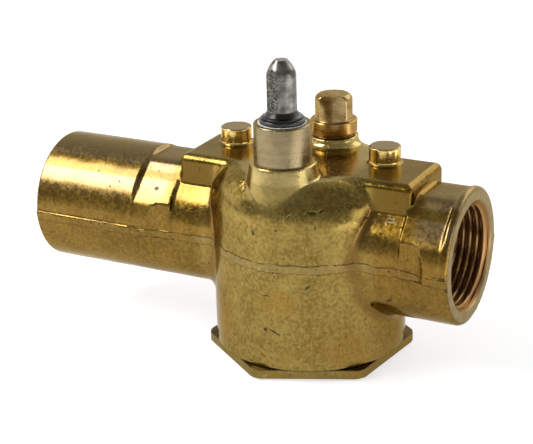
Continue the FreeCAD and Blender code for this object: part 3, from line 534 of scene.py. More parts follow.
# %% Settling points on the surface
def slope(field, points, step=0.02):
    """The field's gradient, by central differences."""
    parts = []
    for k in range(3):
        shift = np.zeros(3)
        shift[k] = step
        parts.append((field(*(points + shift).T) - field(*(points - shift).T)) / (2 * step))
    return np.stack(parts, 1)


def settle(field, points, rounds=4, longest=0.25):
    """Newton steps down the gradient, each no longer than a part of a cell, and unit normals."""
    for _ in range(rounds):
        value = field(*points.T)
        gradient = slope(field, points)
        step = value / np.maximum((gradient ** 2).sum(1), 0.05)
        points = points - gradient * np.clip(step, -longest, longest)[:, None]
    gradient = slope(field, points)
    return points, gradient / np.linalg.norm(gradient, axis=1)[:, None]

# %% [markdown]
# The lattice is fine where flats, fillets and the parting band are, and coarse along the plain
# run, so that the skin has detail where it counts and stays well under 200,000 triangles. The
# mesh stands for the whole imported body, together with the turned pieces that follow.

# %% Mesh the forging
grid_x = graded([(-73.1, -71.5, 0.4), (-71.5, -45.5, 1.3), (-45.5, -30.5, 0.5), (-30.5, 44.1, 0.6)])
grid_y = graded([(-26.2, 26.2, 0.62)])
grid_z = graded([(1.9, 4.3, 0.4), (4.3, 27.5, 1.0), (27.5, 32.0, 0.35), (32.0, 42.0, 0.65),
                 (42.0, 55.3, 0.5)])
values = forging_field(*np.meshgrid(grid_x, grid_y, grid_z, indexing="ij"))
cells, cell_numbers = crossed_cells(values < 0)
net = net_points(values, (grid_x, grid_y, grid_z), cells)
quads = net_faces(values < 0, cell_numbers)
points, normals = settle(forging_field, net)
forging = add_piece("forging", points, [quads], "housing", ["valve_body"], normals)

# %% [markdown]
# Everything round that was cut on a lathe is a profile turned about an axis. A cutter never
# leaves a truly sharp edge, so the profile's corners get small arcs. A Bevel modifier could round
# them too, but on a thread or a closed sleeve it runs into itself.

# %% Profiles with rounded corners
LONGEST_SHARE = 0.49


def rounded(corners, steps=4):
    """An open line through corners (along, radius, fillet), with an arc in place of each corner."""
    line = []
    for number, (along, radius, fillet) in enumerate(corners):
        here = np.array((along, radius), float)
        if fillet == 0 or number in (0, len(corners) - 1):
            line.append(here)
            continue
        to_last = np.array(corners[number - 1][:2], float) - here
        to_next = np.array(corners[number + 1][:2], float) - here
        last_length, next_length = np.linalg.norm(to_last), np.linalg.norm(to_next)
        to_last, to_next = to_last / last_length, to_next / next_length
        half = math.acos(np.clip(to_last @ to_next, -1, 1)) / 2
        reach = min(fillet / math.tan(half), LONGEST_SHARE * last_length, LONGEST_SHARE * next_length)
        start, end = here + to_last * reach, here + to_next * reach
        centre = here + (to_last + to_next) / np.linalg.norm(to_last + to_next) * reach / math.cos(half)
        for share in np.linspace(0, 1, steps + 1):
            spoke = (start - centre) * (1 - share) + (end - centre) * share
            line.append(centre + spoke / np.linalg.norm(spoke) * np.linalg.norm(start - centre))
    return np.array(line)

# %% [markdown]
# Turning puts the profile at many angles. Its radius may change with the angle, and that one idea
# gives a thread, a driving flat and a hexagon. A line that returns to its start makes a closed
# sleeve, and an open one is shut with a fan of triangles at each end.

# %% Turning a profile
def ring_faces(rings, steps, closed):
    """Faces of a grid of rings; where the line isn't closed, each end is a fan round a pole."""
    ring = np.arange(rings if closed else rings - 1)[:, None] * steps
    following = (ring + steps) % (rings * steps)
    here = np.arange(steps)[None, :]
    there = (here + 1) % steps
    quads = np.stack([ring + here, following + here, following + there, ring + there], -1).reshape(-1, 4)
    if closed:
        return [quads]
    first, last = rings * steps, rings * steps + 1
    around = np.arange(steps)
    after = (around + 1) % steps
    top = (rings - 1) * steps
    fans = np.concatenate([np.stack([np.full(steps, first), around, after], 1),
                           np.stack([np.full(steps, last), top + after, top + around], 1)])
    return [quads, fans]


def turn(name, line, steps, axis, body, replaces=(), centre=(0.0, 0.0), shape=None, closed=False):
    """A line of (along, radius) turned about X or Z; shape changes radius by angle and along."""
    along = np.repeat(line[:, :1], steps, 1)
    radius = np.repeat(line[:, 1:], steps, 1)
    angle = np.broadcast_to(np.arange(steps) * 2 * math.pi / steps, along.shape)
    if shape is not None:
        radius = shape(along, radius, angle)
    flat_along, flat_radius, flat_angle = along.ravel(), radius.ravel(), angle.ravel()
    if not closed:
        flat_along = np.append(flat_along, (line[0, 0], line[-1, 0]))
        flat_radius = np.append(flat_radius, (0, 0))
        flat_angle = np.append(flat_angle, (0, 0))
    aside, ahead = flat_radius * np.cos(flat_angle), flat_radius * np.sin(flat_angle)
    if axis == "x":
        points = np.stack([flat_along, -ahead, PORT_HEIGHT + aside], 1)
    else:
        points = np.stack([centre[0] + aside, centre[1] + ahead, flat_along], 1)
    return add_piece(name, points, ring_faces(len(line), steps, closed), body, replaces)

# %% [markdown]
# Each port's end was faced and threaded after forging, which is why it is paler and shows the
# cutter's rings. A thread is often faked as a stack of rings. Here the groove's phase moves with the
# angle as well as with the depth, which makes it a true helix, and it fades out at its inner end.

# %% Pipe thread
INCH = 25.4
THREADS_PER_INCH = 14
THREAD_PITCH = INCH / THREADS_PER_INCH
THREAD_RADIUS = 12.4
MOUTH_RADIUS = 13.8
THREAD_DEPTH = 0.95
THREAD_CREST = 0.3
THREAD_FLANK = 0.6
THREAD_FADE = 1.2
THREAD_START = 0.18
FACE_PLAY = 0.01


def threaded(reach, side):
    """A shape for turn: a right-handed helix between the mouth's chamfer and the thread's end."""
    def shape(along, radius, angle):
        """Crest radius plus a blunted triangle wave of the along distance less the angle's share."""
        depth = reach - side * along
        phase = along / THREAD_PITCH - angle / (2 * math.pi) + THREAD_START
        wave = np.abs((phase % 1) * 2 - 1)
        groove = np.clip((wave - THREAD_CREST) / THREAD_FLANK, 0, 1) * THREAD_DEPTH
        fade = np.clip((THREAD_LENGTH - depth) / THREAD_FADE, 0, 1)
        in_thread = (depth > 0) & (depth < THREAD_LENGTH) & (radius < MOUTH_RADIUS + FACE_PLAY)
        mouth = MOUTH_RADIUS - depth
        return np.where(in_thread, np.maximum(THREAD_RADIUS + groove * fade, mouth), radius)
    return shape


print("thread pitch", round(THREAD_PITCH, 3))

# %% [markdown]
# One closed sleeve makes the face, the chamfered mouth, the thread and the step to the waterway. It
# lies inside the forging, with only its end showing, so the forging's own edge stays a forged one.

# %% Turned port ends
SLEEVE_RADIUS = 15.0
SLEEVE_START = 2.5
SLEEVE_END = 0.8
THREAD_STEPS = 10
THREAD_FIRST = 0.35
FACE_OVERLAP = 0.1
FACE_SKIN = 0.12
FACE_EDGE = 0.04
FACE_BREAK = 0.12
MOUTH_STEP = 0.2
SEAM_PLAY = 0.05
WATERWAY_EDGE = 0.3
PORT_ANGLES = 144


def port_finish(name, side, reach, radius, waterway, rim):
    """The closed sleeve of one port, from its face through the thread to the waterway and back."""
    face_radius = radius - rim + FACE_OVERLAP
    back = reach - FACE_SKIN
    back_wall = np.array([(reach - SLEEVE_START, SLEEVE_RADIUS), (back, SLEEVE_RADIUS)])
    start = rounded([(back, face_radius, 0), (reach, face_radius, FACE_EDGE),
                     (reach, MOUTH_RADIUS, FACE_BREAK), (reach - MOUTH_STEP, MOUTH_RADIUS - MOUTH_STEP, 0)])
    rings = int(THREAD_LENGTH / THREAD_PITCH * THREAD_STEPS)
    depths = np.linspace(THREAD_FIRST, THREAD_LENGTH - SEAM_PLAY, rings)
    thread = np.stack([reach - depths, np.full(rings, THREAD_RADIUS)], 1)
    end = reach - THREAD_LENGTH
    inner = rounded([(end, THREAD_RADIUS, 0), (end, waterway + SEAM_PLAY, WATERWAY_EDGE),
                     (end - SLEEVE_END, waterway + SEAM_PLAY, 0), (end - SLEEVE_END, SLEEVE_RADIUS, 0)])
    line = np.concatenate([back_wall, start, thread, inner])
    line[:, 0] *= side
    return turn(name, line, PORT_ANGLES, "x", "housing", ["valve_body"],
                shape=threaded(reach, side), closed=True)


right_end = port_finish("right_port_end", 1, RIGHT_REACH, RIGHT_RADIUS, RIGHT_WATERWAY, RIGHT_RIM)
left_end = port_finish("left_port_end", -1, LEFT_REACH, LEFT_RADIUS, LEFT_WATERWAY, LEFT_RIM)

# %% [markdown]
# The spigot that centres the actuator was turned from the boss. It could end at the boss, but then
# the gland bore would show forged skin. So its closed sleeve goes on down as the bore's lining.

# %% Spigot
SPIGOT_RADIUS = 7.05
SPIGOT_TOP = 63.7
LINING_RADIUS = GLAND_RADIUS + 0.9
LINING_FOOT = GLAND_FLOOR - 1
SPIGOT_FOOT = BOSS_FACE - 0.6
SPIGOT_ANGLES = 128
spigot_line = rounded([
    (LINING_FOOT, STEM_WAY, 0), (LINING_FOOT, LINING_RADIUS, 0), (SPIGOT_FOOT, LINING_RADIUS, 0),
    (SPIGOT_FOOT, SPIGOT_RADIUS, 0), (SPIGOT_TOP, SPIGOT_RADIUS, 0.45), (SPIGOT_TOP, GLAND_RADIUS, 0.15),
    (GLAND_FLOOR, GLAND_RADIUS, 0), (GLAND_FLOOR, STEM_WAY, 0.1), (LINING_FOOT, STEM_WAY, 0)])[:-1]
spigot = turn("spigot", spigot_line, SPIGOT_ANGLES, "z", "housing", ["valve_body"],
              centre=(0, STEM_Y), closed=True)

# %% [markdown]
# The cap is a hexagon whose corners were turned off a little, with a threaded cup above it. A
# six-sided cylinder would have no turned corners. Instead the turned profile is cut by the flats:
# the hexagon's radius at an angle is half its width over the cosine of the angle from the middle
# of the nearest side, and the profile is an upper limit to it. Its underside rises by half a
# millimetre from the middle to the rim's bevel, which no view from above shows.

# %% Bottom cap
CAP_FLATS = 46.4
CAP_CORNER_CUT = 0.5
CAP_TURN = math.radians(23.5)
CAP_BEVEL_IN = 1.2
CAP_BEVEL_UP = 0.6
CAP_EDGE = 0.3
CAP_TOP_EDGE = 0.25
CAP_SCREW = 19.95
CAP_SCREW_TOP = 11.7
CAP_SCREW_BEVEL = 0.6
CAP_CUP = 16.75
CAP_CUP_EDGE = 0.4
CAP_FLOOR = 4.6
CAP_MIDDLE = 0.01
CAP_ANGLES = 180
cap_corner = CAP_FLATS / 2 / math.cos(math.pi / 6) - CAP_CORNER_CUT


def hexagonal(along, radius, angle):
    """Outside the screw, the least of the line's radius and the distance to the hexagon's side."""
    from_flat = (angle - CAP_TURN) % (math.pi / 3) - math.pi / 6
    flat = CAP_FLATS / 2 / np.cos(from_flat)
    return np.where(radius > CAP_SCREW + 1, np.minimum(flat, radius), radius)


cap_side = rounded([
    (0, cap_corner - CAP_BEVEL_IN, 0), (CAP_BEVEL_UP, cap_corner, CAP_EDGE),
    (FOOT, cap_corner, CAP_TOP_EDGE), (FOOT, CAP_SCREW, 0),
    (CAP_SCREW_TOP - CAP_SCREW_BEVEL, CAP_SCREW, 0), (CAP_SCREW_TOP, CAP_SCREW - CAP_SCREW_BEVEL, 0),
    (CAP_SCREW_TOP, CAP_CUP, 0), (CAP_FLOOR, CAP_CUP, CAP_CUP_EDGE), (CAP_FLOOR, CAP_CUP - 1, 0)])
cap_line = np.concatenate([[(0, CAP_MIDDLE)], cap_side[1:]])
cap = turn("bottom_cap_hexagon", cap_line, CAP_ANGLES, "z", "housing", ["bottom_cap"],
           shape=hexagonal)

# %% [markdown]
# The stem is turned steel: a rounded tip, a flare that covers the wiper and, lower down, the
# groove of its ring. The driving flat limits the radius over a part of the turn.

# %% Stem and wiper
STEM_RADIUS = 3.6
STEM_TOP = 79.0
STEM_FLAT = 3.15
STEM_FLAT_TURN = math.radians(-110.5)
WIPER_HEIGHT = 1.1
SHOULDER = SPIGOT_TOP + WIPER_HEIGHT + 0.1
SHOULDER_TOP = SHOULDER + 1.7
STEM_FOOT = PORT_HEIGHT - 4.5 - 0.6
STEM_BEVEL = 0.35
STEM_NECK = STEM_RADIUS - 0.7
RING_GROOVE = (41.4, 42.5)
SHOULDER_RADIUS = 5.0
FLARE_RADIUS = 4.2
TIP_LENGTH = 3.8
TIP_NARROWING = 2.0
TIP_RINGS = 14
STEM_ANGLES = 144
WIPER_BORE = 3.75
WIPER_RADIUS = 5.55
WIPER_ANGLES = 96


def flatted(low, flat, facing, both=False):
    """A shape for turn: above low, the radius stops at a flat that faces the given way."""
    def shape(along, radius, angle):
        """The flat's distance over the cosine of the angle from where it faces."""
        away = np.cos(angle - facing)
        away = np.abs(away) if both else away
        limit = flat / np.maximum(away, 0.01)
        return np.where(along > low, np.minimum(radius, limit), radius)
    return shape


tip = np.linspace(0, 1, TIP_RINGS)
tip_line = np.stack([STEM_TOP - TIP_LENGTH * (1 - tip ** 1.35),
                     STEM_RADIUS - TIP_NARROWING * tip ** 2.4], 1)
shaft_line = rounded([
    (STEM_FOOT, STEM_RADIUS - STEM_BEVEL, 0), (STEM_FOOT + STEM_BEVEL, STEM_RADIUS, 0),
    (RING_GROOVE[0], STEM_RADIUS, 0), (RING_GROOVE[0], STEM_NECK, 0),
    (RING_GROOVE[1], STEM_NECK, 0), (RING_GROOVE[1], STEM_RADIUS, 0),
    (SHOULDER, STEM_RADIUS, 0), (SHOULDER, SHOULDER_RADIUS, 0.1),
    (SHOULDER + 0.34, SHOULDER_RADIUS, 0.12), (SHOULDER + 0.6, FLARE_RADIUS, 0.5),
    (SHOULDER_TOP, STEM_RADIUS, 0.8), (SHOULDER_TOP + 0.29, STEM_RADIUS, 0),
    (SHOULDER_TOP + 0.31, STEM_RADIUS, 0), (STEM_TOP - 4, STEM_RADIUS, 0)])
stem_line = np.concatenate([shaft_line, tip_line])
stem = turn("stem_shaft", stem_line, STEM_ANGLES, "z", "rotor", ["stem"],
            centre=(0, STEM_Y), shape=flatted(SHOULDER_TOP + 0.3, STEM_FLAT, STEM_FLAT_TURN))
wiper_top = SPIGOT_TOP + WIPER_HEIGHT
wiper_line = rounded([
    (SPIGOT_TOP, WIPER_BORE, 0), (SPIGOT_TOP, WIPER_RADIUS, 0.2), (wiper_top, WIPER_RADIUS, 0.35),
    (wiper_top, WIPER_BORE, 0), (SPIGOT_TOP, WIPER_BORE, 0)])[:-1]
wiper = turn("wiper_ring", wiper_line, WIPER_ANGLES, "z", "housing", ["stem_wiper"],
             centre=(0, STEM_Y), closed=True)

# %% [markdown]
# The guide post stands behind the stem: a collar, fine rings under it, and a rounded head with two
# flats for the spanner. Two cuts with boxes would make the flats as well. The turned profile only
# needs its radius held to the flats' distance, and its rounded edges stay whole.

# %% Guide post
POST_FACE = HUB_FACE
COLLAR_LOW = POST_FACE + 1.0
COLLAR_TOP = COLLAR_LOW + 3.2
HEAD_TOP = COLLAR_TOP + 6.5
POST_TURN = math.radians(-71.5)
POST_FLAT = 3.3
POST_FOOT = POST_FACE - 5.2
THREAD_SHANK = 2.9
POST_NECK = 5.15
POST_RING = 5.75
RING_PITCH = 0.25
COLLAR_RADIUS = 6.05
HEAD_RADIUS = 4.85
POST_ANGLES = 144
post_line = rounded([
    (POST_FOOT, THREAD_SHANK, 0), (POST_FACE, THREAD_SHANK, 0), (POST_FACE, POST_NECK, 0),
    (POST_FACE + RING_PITCH, POST_RING, 0.08), (POST_FACE + 2 * RING_PITCH, POST_NECK, 0.08),
    (POST_FACE + 3 * RING_PITCH, POST_RING, 0.08), (COLLAR_LOW, POST_NECK, 0),
    (COLLAR_LOW, COLLAR_RADIUS, 0.15), (COLLAR_TOP, COLLAR_RADIUS, 0.4), (COLLAR_TOP, HEAD_RADIUS, 0.15),
    (HEAD_TOP, HEAD_RADIUS, 1.5), (HEAD_TOP, 1.0, 0)], steps=6)
post = turn("flatted_post", post_line, POST_ANGLES, "z", "housing", ["guide_post"],
            centre=(0, POST_Y), shape=flatted(COLLAR_TOP + 0.8, POST_FLAT, POST_TURN, both=True))

# %% [markdown]
# Recesses and the roots between port and barrel get painted shade, darker and browner, and outer
# edges a painted pale glint. To know where they are, the field is asked again a little way in front
# of the skin and behind it: over a flat it changes by that distance, at a corner or an edge by less.
# The shortfalls are kept on each point, and so is the nearness of the line between port and barrel.

# %% Recesses, edges and roots on each point
HOLLOW_REACH = 1.6
EDGE_REACH = 0.6
ROOT_REACH = 3.2


def hollow_share(field, points, normals, reach):
    """One less the field ahead of the skin over the distance: 0 on a flat, towards 1 in a corner."""
    ahead = field(*(points + normals * reach).T)
    return np.clip(1 - ahead / reach, 0, 1)


def edge_share(field, points, normals, reach):
    """One plus the field behind the skin over the distance: 0 on a flat, towards 1 at an edge."""
    behind = field(*(points - normals * reach).T)
    return np.clip(1 + behind / reach, 0, 1)


def root_share(points, reach):
    """One less the greater distance to the port's and the barrel's own surfaces over the reach."""
    away = np.maximum(np.abs(barrel_field(*points.T)), np.abs(ports_field(*points.T)))
    return np.clip(1 - away / reach, 0, 1)


shares = {"hollow": hollow_share(forging_field, points, normals, HOLLOW_REACH),
          "edge": edge_share(outside_field, points, normals, EDGE_REACH),
          "root": root_share(points, ROOT_REACH)}
for name, share in shares.items():
    layer = forging.data.attributes.new(name, "FLOAT", "POINT")
    layer.data.foreach_set("value", share.astype(np.float32))
    print(name, "above a third on", int((share > 1 / 3).sum()), "points")

# %% [markdown]
# Every finish below is a net of shader nodes. They are added by a small helper, so that a material
# reads like a list of steps. All patterns stand in the frame's own millimetres.

# %% Writing node trees
class Recipe:
    """A node tree that is filled step by step; each step gives back the new node's output."""

    def __init__(self, tree):
        self.tree = tree

    def fill(self, node, inputs):
        """Links an input to another node's output, or sets its value."""
        for socket, value in inputs.items():
            if isinstance(value, bpy.types.NodeSocket):
                self.tree.links.new(value, node.inputs[socket])
            else:
                node.inputs[socket].default_value = value
        return node

    def add(self, kind, inputs, output=0, **settings):
        """Adds one node, sets what it does, and fills its inputs."""
        node = self.tree.nodes.new(kind)
        for setting, value in settings.items():
            setattr(node, setting, value)
        return self.fill(node, inputs).outputs[output]

    def maths(self, operation, *values):
        """One sum of numbers."""
        return self.add("ShaderNodeMath", dict(enumerate(values)), operation=operation)

    def times(self, first, second):
        """The product of two numbers."""
        return self.maths("MULTIPLY", first, second)

    def plus(self, first, second):
        """The sum of two numbers."""
        return self.maths("ADD", first, second)

    def minus(self, first, second):
        """The first number less the second."""
        return self.maths("SUBTRACT", first, second)

    def most(self, first, second):
        """The greater of two numbers."""
        return self.maths("MAXIMUM", first, second)

    def vectors(self, operation, *values, output=0):
        """One sum of vectors."""
        return self.add("ShaderNodeVectorMath", dict(enumerate(values)), output, operation=operation)

    def noise(self, place, scale, detail=2.0, stretch=(1, 1, 1)):
        """Cloudy noise between 0 and 1, squeezed along each direction by the stretch."""
        return self.add("ShaderNodeTexNoise", {"Vector": self.vectors("MULTIPLY", place, stretch),
                                               "Scale": scale, "Detail": detail})

    def step(self, value, start, end, low=0.0, high=1.0):
        """A soft step from low to high as the value goes from start to end."""
        return self.add("ShaderNodeMapRange", {0: value, 1: start, 2: end, 3: low, 4: high},
                        interpolation_type="SMOOTHSTEP")

    def blend(self, share, first, second):
        """A colour between two others."""
        return self.add("ShaderNodeMix", {0: share, 6: first, 7: second}, 2, data_type="RGBA")

    def parts(self, vector):
        """The three numbers of a vector."""
        node = self.tree.nodes.new("ShaderNodeSeparateXYZ")
        return self.fill(node, {0: vector}).outputs

    def call(self, group, inputs):
        """Places a shader group in this tree."""
        node = self.tree.nodes.new("ShaderNodeGroup")
        node.node_tree = group
        return self.fill(node, inputs).outputs

# %% [markdown]
# A group is a net that can be placed in several materials. It gives out numbers only, such as
# masks and heights, so that each material decides on its own colours.

# %% Shader groups
def new_group(name, inputs, outputs):
    """An empty shader group with named inputs, and outputs that are all numbers."""
    tree = bpy.data.node_groups.new(name, "ShaderNodeTree")
    for socket, kind in inputs.items():
        tree.interface.new_socket(socket, in_out="INPUT", socket_type="NodeSocket" + kind)
    for socket in outputs:
        tree.interface.new_socket(socket, in_out="OUTPUT", socket_type="NodeSocketFloat")
    given = tree.nodes.new("NodeGroupInput").outputs
    wanted = tree.nodes.new("NodeGroupOutput")
    return Recipe(tree), given, wanted

# %% [markdown]
# The skin of a hot forging is smooth where the die was smooth, clouded by scale that was pickled
# off, and strewn with fine pits where scale was pressed in. Noises of several sizes make the
# clouds, the warm patches and the waves, and the pits are the middles of scattered cells.

# %% Forging skin
def make_skin_group():
    """Tone is two noises added, warmth is a slow noise, and a pit is the middle of a chosen cell."""
    r, given, wanted = new_group("forging_skin", {"Place": "Vector", "Pitting": "Float"},
                                 ["Tone", "Warmth", "Pits", "Height"])
    place = given["Place"]
    clouds = r.noise(place, 0.13, 3.0)
    grain = r.noise(place, 1.1, 4.0)
    tone = r.plus(r.times(clouds, 0.4), r.times(grain, 0.6))
    warmth = r.step(r.noise(place, 0.075, 3.0), 0.52, 0.68)
    pits = 0.0
    for scale, reach, rarity in ((0.42, 0.14, 0.84), (0.9, 0.18, 0.88)):
        cells = r.tree.nodes.new("ShaderNodeTexVoronoi")
        r.fill(cells, {"Vector": place, "Scale": scale})
        chosen = r.maths("GREATER_THAN", r.parts(cells.outputs["Color"])[0],
                         r.minus(rarity, given["Pitting"]))
        pit = r.times(chosen, r.step(cells.outputs["Distance"], reach * 0.35, reach, 1.0, 0.0))
        pits = r.most(pits, pit)
    waves = r.times(r.noise(place, 0.3, 1.0), 0.07)
    height = r.plus(waves, r.times(grain, 0.022))
    height = r.minus(height, r.times(pits, 0.07))
    r.fill(wanted, {"Tone": tone, "Warmth": warmth, "Pits": pits, "Height": height})
    return r.tree

# %% [markdown]
# Loose parts scratch each other in the bin. A scratch here is a contour line of a noise that was
# stretched until its contours run nearly straight, shown only where a second noise allows it.

# %% Scratches
SCRATCH_TURNS = ((0.3, 0.9, 0.2), (1.3, 0.2, 1.1), (0.4, 2.2, 0.7))


def make_scratch_group():
    """Where a stretched noise passes 0.5 there is a line; a slow noise leaves only some of them."""
    r, given, wanted = new_group("scratches", {"Place": "Vector"}, ["Lines"])
    lines = 0.0
    for number, angles in enumerate(SCRATCH_TURNS):
        turned_place = r.add("ShaderNodeVectorRotate", {"Vector": given["Place"], "Rotation": angles},
                             rotation_type="EULER_XYZ")
        contour = r.noise(turned_place, 1.0, 1.0, (0.05, 0.55, 0.55))
        line = r.step(r.maths("ABSOLUTE", r.minus(contour, 0.5)), 0.003, 0.012, 1.0, 0.0)
        shifted = r.vectors("ADD", given["Place"], (31.0 * number, 7.0, 0.0))
        allowed = r.step(r.noise(shifted, 0.15, 1.0), 0.56, 0.64)
        lines = r.most(lines, r.times(line, allowed))
    r.fill(wanted, {"Lines": lines})
    return r.tree

# %% [markdown]
# A lathe tool leaves rings. They need only one number, the distance along the axis or out from it,
# so the noise behind them reads that number alone.

# %% Turning marks
def make_turning_group():
    """Noise of one number, fine for the tool's feed and slow for its chatter."""
    r, given, wanted = new_group("turning_marks", {"Travel": "Float"}, ["Tone", "Height"])
    line = r.add("ShaderNodeCombineXYZ", {"X": given["Travel"]})
    feed = r.noise(line, 4.5, 1.0)
    chatter = r.noise(line, 0.9, 2.0)
    tone = r.plus(r.times(feed, 0.5), r.times(chatter, 0.5))
    r.fill(wanted, {"Tone": tone, "Height": r.times(feed, 0.025)})
    return r.tree

# %% [markdown]
# A single dent, nick or stain is a stretched ball: inside it the mask is 1. The ball is turned so
# that its long side lies as the mark does, and a noise frays its edge.

# %% One mark
def make_mark_group():
    """The length of the turned and stretched way from the mark's middle, with a noise added."""
    r, given, wanted = new_group("mark", {"Place": "Vector", "Middle": "Vector", "Turn": "Vector",
                                          "Stretch": "Vector"}, ["Mask"])
    way = r.vectors("SUBTRACT", given["Place"], given["Middle"])
    way = r.add("ShaderNodeVectorRotate", {"Vector": way, "Rotation": given["Turn"]},
                rotation_type="EULER_XYZ")
    reach = r.vectors("LENGTH", r.vectors("MULTIPLY", way, given["Stretch"]), output=1)
    fray = r.minus(r.noise(given["Place"], 1.3, 2.0), 0.5)
    frayed = r.plus(reach, r.times(fray, 1.2))
    r.fill(wanted, {"Mask": r.step(frayed, 0.6, 1.1, 1.0, 0.0)})
    return r.tree


skin_group = make_skin_group()
scratch_group = make_scratch_group()
turning_group = make_turning_group()
mark_group = make_mark_group()
print("groups", [group.name for group in bpy.data.node_groups])

# %% [markdown]
# The marks that this one forging picked up: a nick on the shoulder, a few short scratches and dots
# on the barrel, one pit on the left flat. Each has a middle on the skin, a length, a width and a
# slope, as seen from the front.

# %% Marks on the forging
DARK_MARKS = (
    ((10.9, -21.0, 44.3), 1.5, 0.5, -5),
    ((12.7, -19.9, 44.6), 0.7, 0.5, 30),
    ((-3.2, -24.3, 38.4), 0.9, 0.35, -75),
    ((2.9, -24.3, 39.9), 0.4, 0.3, 0),
    ((-37.3, -12.4, 40.9), 0.7, 0.4, 0),
    ((0.0, -24.4, 22.5), 1.1, 0.25, 3),
    ((10.1, -22.3, 25.5), 0.8, 0.3, 45),
    ((-0.6, -24.4, 13.5), 0.6, 0.5, 20),
    ((2.2, -24.3, 13.0), 1.7, 0.25, -25),
    ((-10.4, -22.1, 9.2), 0.6, 0.3, -50),
    ((43.3, -15.6, 28.3), 0.6, 0.7, 0),
    ((27.9, -14.0, 22.2), 1.0, 0.3, 40),
)
RED_MARKS = (((-1.6, -24.3, 6.4), 1.1, 0.4, -45), ((-7.4, -18.4, 49.2), 2.8, 0.45, -80))
MARK_DEPTH = 3.0


def add_marks(r, place, marks):
    """The greatest of the marks' masks."""
    total = 0.0
    for middle, length, width, slant in marks:
        mask = r.call(mark_group, {"Place": place, "Middle": middle, "Turn": (0, math.radians(slant), 0),
                                   "Stretch": (1 / length, 1 / MARK_DEPTH, 1 / width)})["Mask"]
        total = r.most(total, mask)
    return total


print("marks:", len(DARK_MARKS), "dark and", len(RED_MARKS), "red")

# %% [markdown]
# A finish starts as a Principled shader and the place of each point in millimetres. Brass is a
# metal, so nearly all of its look is what it reflects: the colour stays in a narrow range, and the
# roughness decides how clearly the studio shows in it.

# %% Starting a finish
def new_finish(name, metallic, coat=0.0, edge=(1, 1, 1, 1)):
    """A material with its shader, a recipe for its tree, and the place in millimetres."""
    material = bpy.data.materials.new(name)
    material.use_nodes = True
    tree = material.node_tree
    shader = tree.nodes["Principled BSDF"]
    shader.inputs["Metallic"].default_value = metallic
    shader.inputs["Coat Weight"].default_value = coat
    shader.inputs["Coat Roughness"].default_value = 0.12
    shader.inputs["Specular Tint"].default_value = edge
    r = Recipe(tree)
    coordinates = tree.nodes.new("ShaderNodeTexCoord").outputs["Object"]
    return material, shader, r, r.vectors("MULTIPLY", coordinates, (1000, 1000, 1000))


def give_bump(r, shader, height, strength=1.0):
    """Bends the shader's normal by a height in millimetres."""
    r.fill(shader, {"Normal": r.add("ShaderNodeBump", {"Height": height, "Strength": strength,
                                                      "Distance": MM})})

# %% [markdown]
# Forged brass is olive gold with warm patches. The seam above the cap is dark, and the pins' tops
# were faced and are paler. A metal's base colour is what it mirrors head on, so these tones are
# darker and deeper than the part looks in the studio. Several of them are painted light: shade in
# the recesses and roots, on the ports and on the slab's top and front; a sheen or highlight on the
# plateau, the boss, the ports' crowns, the pins and outer edges; and warmth on the right side.

# %% Tones of forged brass
BRASS_DARK = (0.150, 0.094, 0.012, 1)
BRASS_LIGHT = (0.310, 0.218, 0.052, 1)
# Warm patches of the skin, and a painted warm reflection on the right side.
BRASS_WARM = (0.240, 0.120, 0.010, 1)
BRASS_BAND = (0.27, 0.20, 0.085, 1)
BRASS_EDGE = (0.72, 0.62, 0.44, 1)
CAP_DARK = (0.145, 0.095, 0.020, 1)
CAP_LIGHT = (0.215, 0.15, 0.034, 1)
# Painted reflection on the pins' sides.
PIN_GOLD = (0.80, 0.56, 0.17, 1)
# Painted shade on the ports, darker and browner than the barrel.
PORT_DARK = (0.110, 0.056, 0.003, 1)
PORT_LIGHT = (0.225, 0.125, 0.015, 1)
# Painted shade in the roots between port and barrel.
ROOT_BROWN = (0.150, 0.070, 0.010, 1)
# Pale scratches, and a painted glint along outer edges.
POLISHED = (0.75, 0.56, 0.22, 1)
# Painted shade on the slab's front faces.
SLAB_SHADE = (0.118, 0.066, 0.004, 1)
# Painted shade on the slab's flat top.
TOP_FACE = (0.155, 0.110, 0.034, 1)
# Painted sheen on the plateau.
PLATEAU_PALE = (0.50, 0.385, 0.150, 1)
# Painted highlight on the ports' crowns.
CROWN_PALE = (0.235, 0.180, 0.095, 1)
LINE_BROWN = (0.075, 0.033, 0.010, 1)
# Painted sheen on the boss.
BOSS_PALE = (0.35, 0.265, 0.085, 1)
# Painted shade in the recesses.
STAIN = (0.14, 0.065, 0.015, 1)
SOOT = (0.030, 0.018, 0.008, 1)
RED_STAIN = (0.20, 0.040, 0.012, 1)
FACED = (0.29, 0.225, 0.130, 1)
print("forged tones from", BRASS_DARK[:3], "to", BRASS_LIGHT[:3])

# %% [markdown]
# Where the two dies met, a thin band with a dark broken line at each edge runs round the part. The
# forging's shape has the band, and these masks colour it. The lines are drawn by height, so they
# need no unwrapped mesh, and a noise added to the height lets them wander.

# %% Parting band
LINE_HALF = 0.17
LINE_WANDER = 1.3
LOWER_LINE = 0.6
BAND_CORE = 0.8


def parting_line(r, height, middle, gaps):
    """1 on a line at one height, times the gap noise that breaks it."""
    away = r.maths("ABSOLUTE", r.minus(height, middle))
    return r.times(r.step(away, LINE_HALF * 0.5, LINE_HALF, 1.0, 0.0), gaps)


def parting_masks(r, place, up, wander):
    """The band by two soft steps of the wandering height, and the greater of its two lines."""
    level = r.plus(up, r.times(wander, LINE_WANDER))
    gaps = r.step(r.noise(place, 0.5, 2.0), 0.36, 0.5, 0.15, 1.0)
    band = r.times(r.step(level, BAND_MIDDLE - BAND_HALF, BAND_MIDDLE - BAND_CORE),
                   r.step(level, BAND_MIDDLE + BAND_CORE, BAND_MIDDLE + BAND_HALF, 1.0, 0.0))
    upper = parting_line(r, level, BAND_MIDDLE + BAND_HALF, gaps)
    lower = r.times(parting_line(r, level, BAND_MIDDLE - BAND_HALF, gaps), LOWER_LINE)
    return band, r.most(upper, lower)
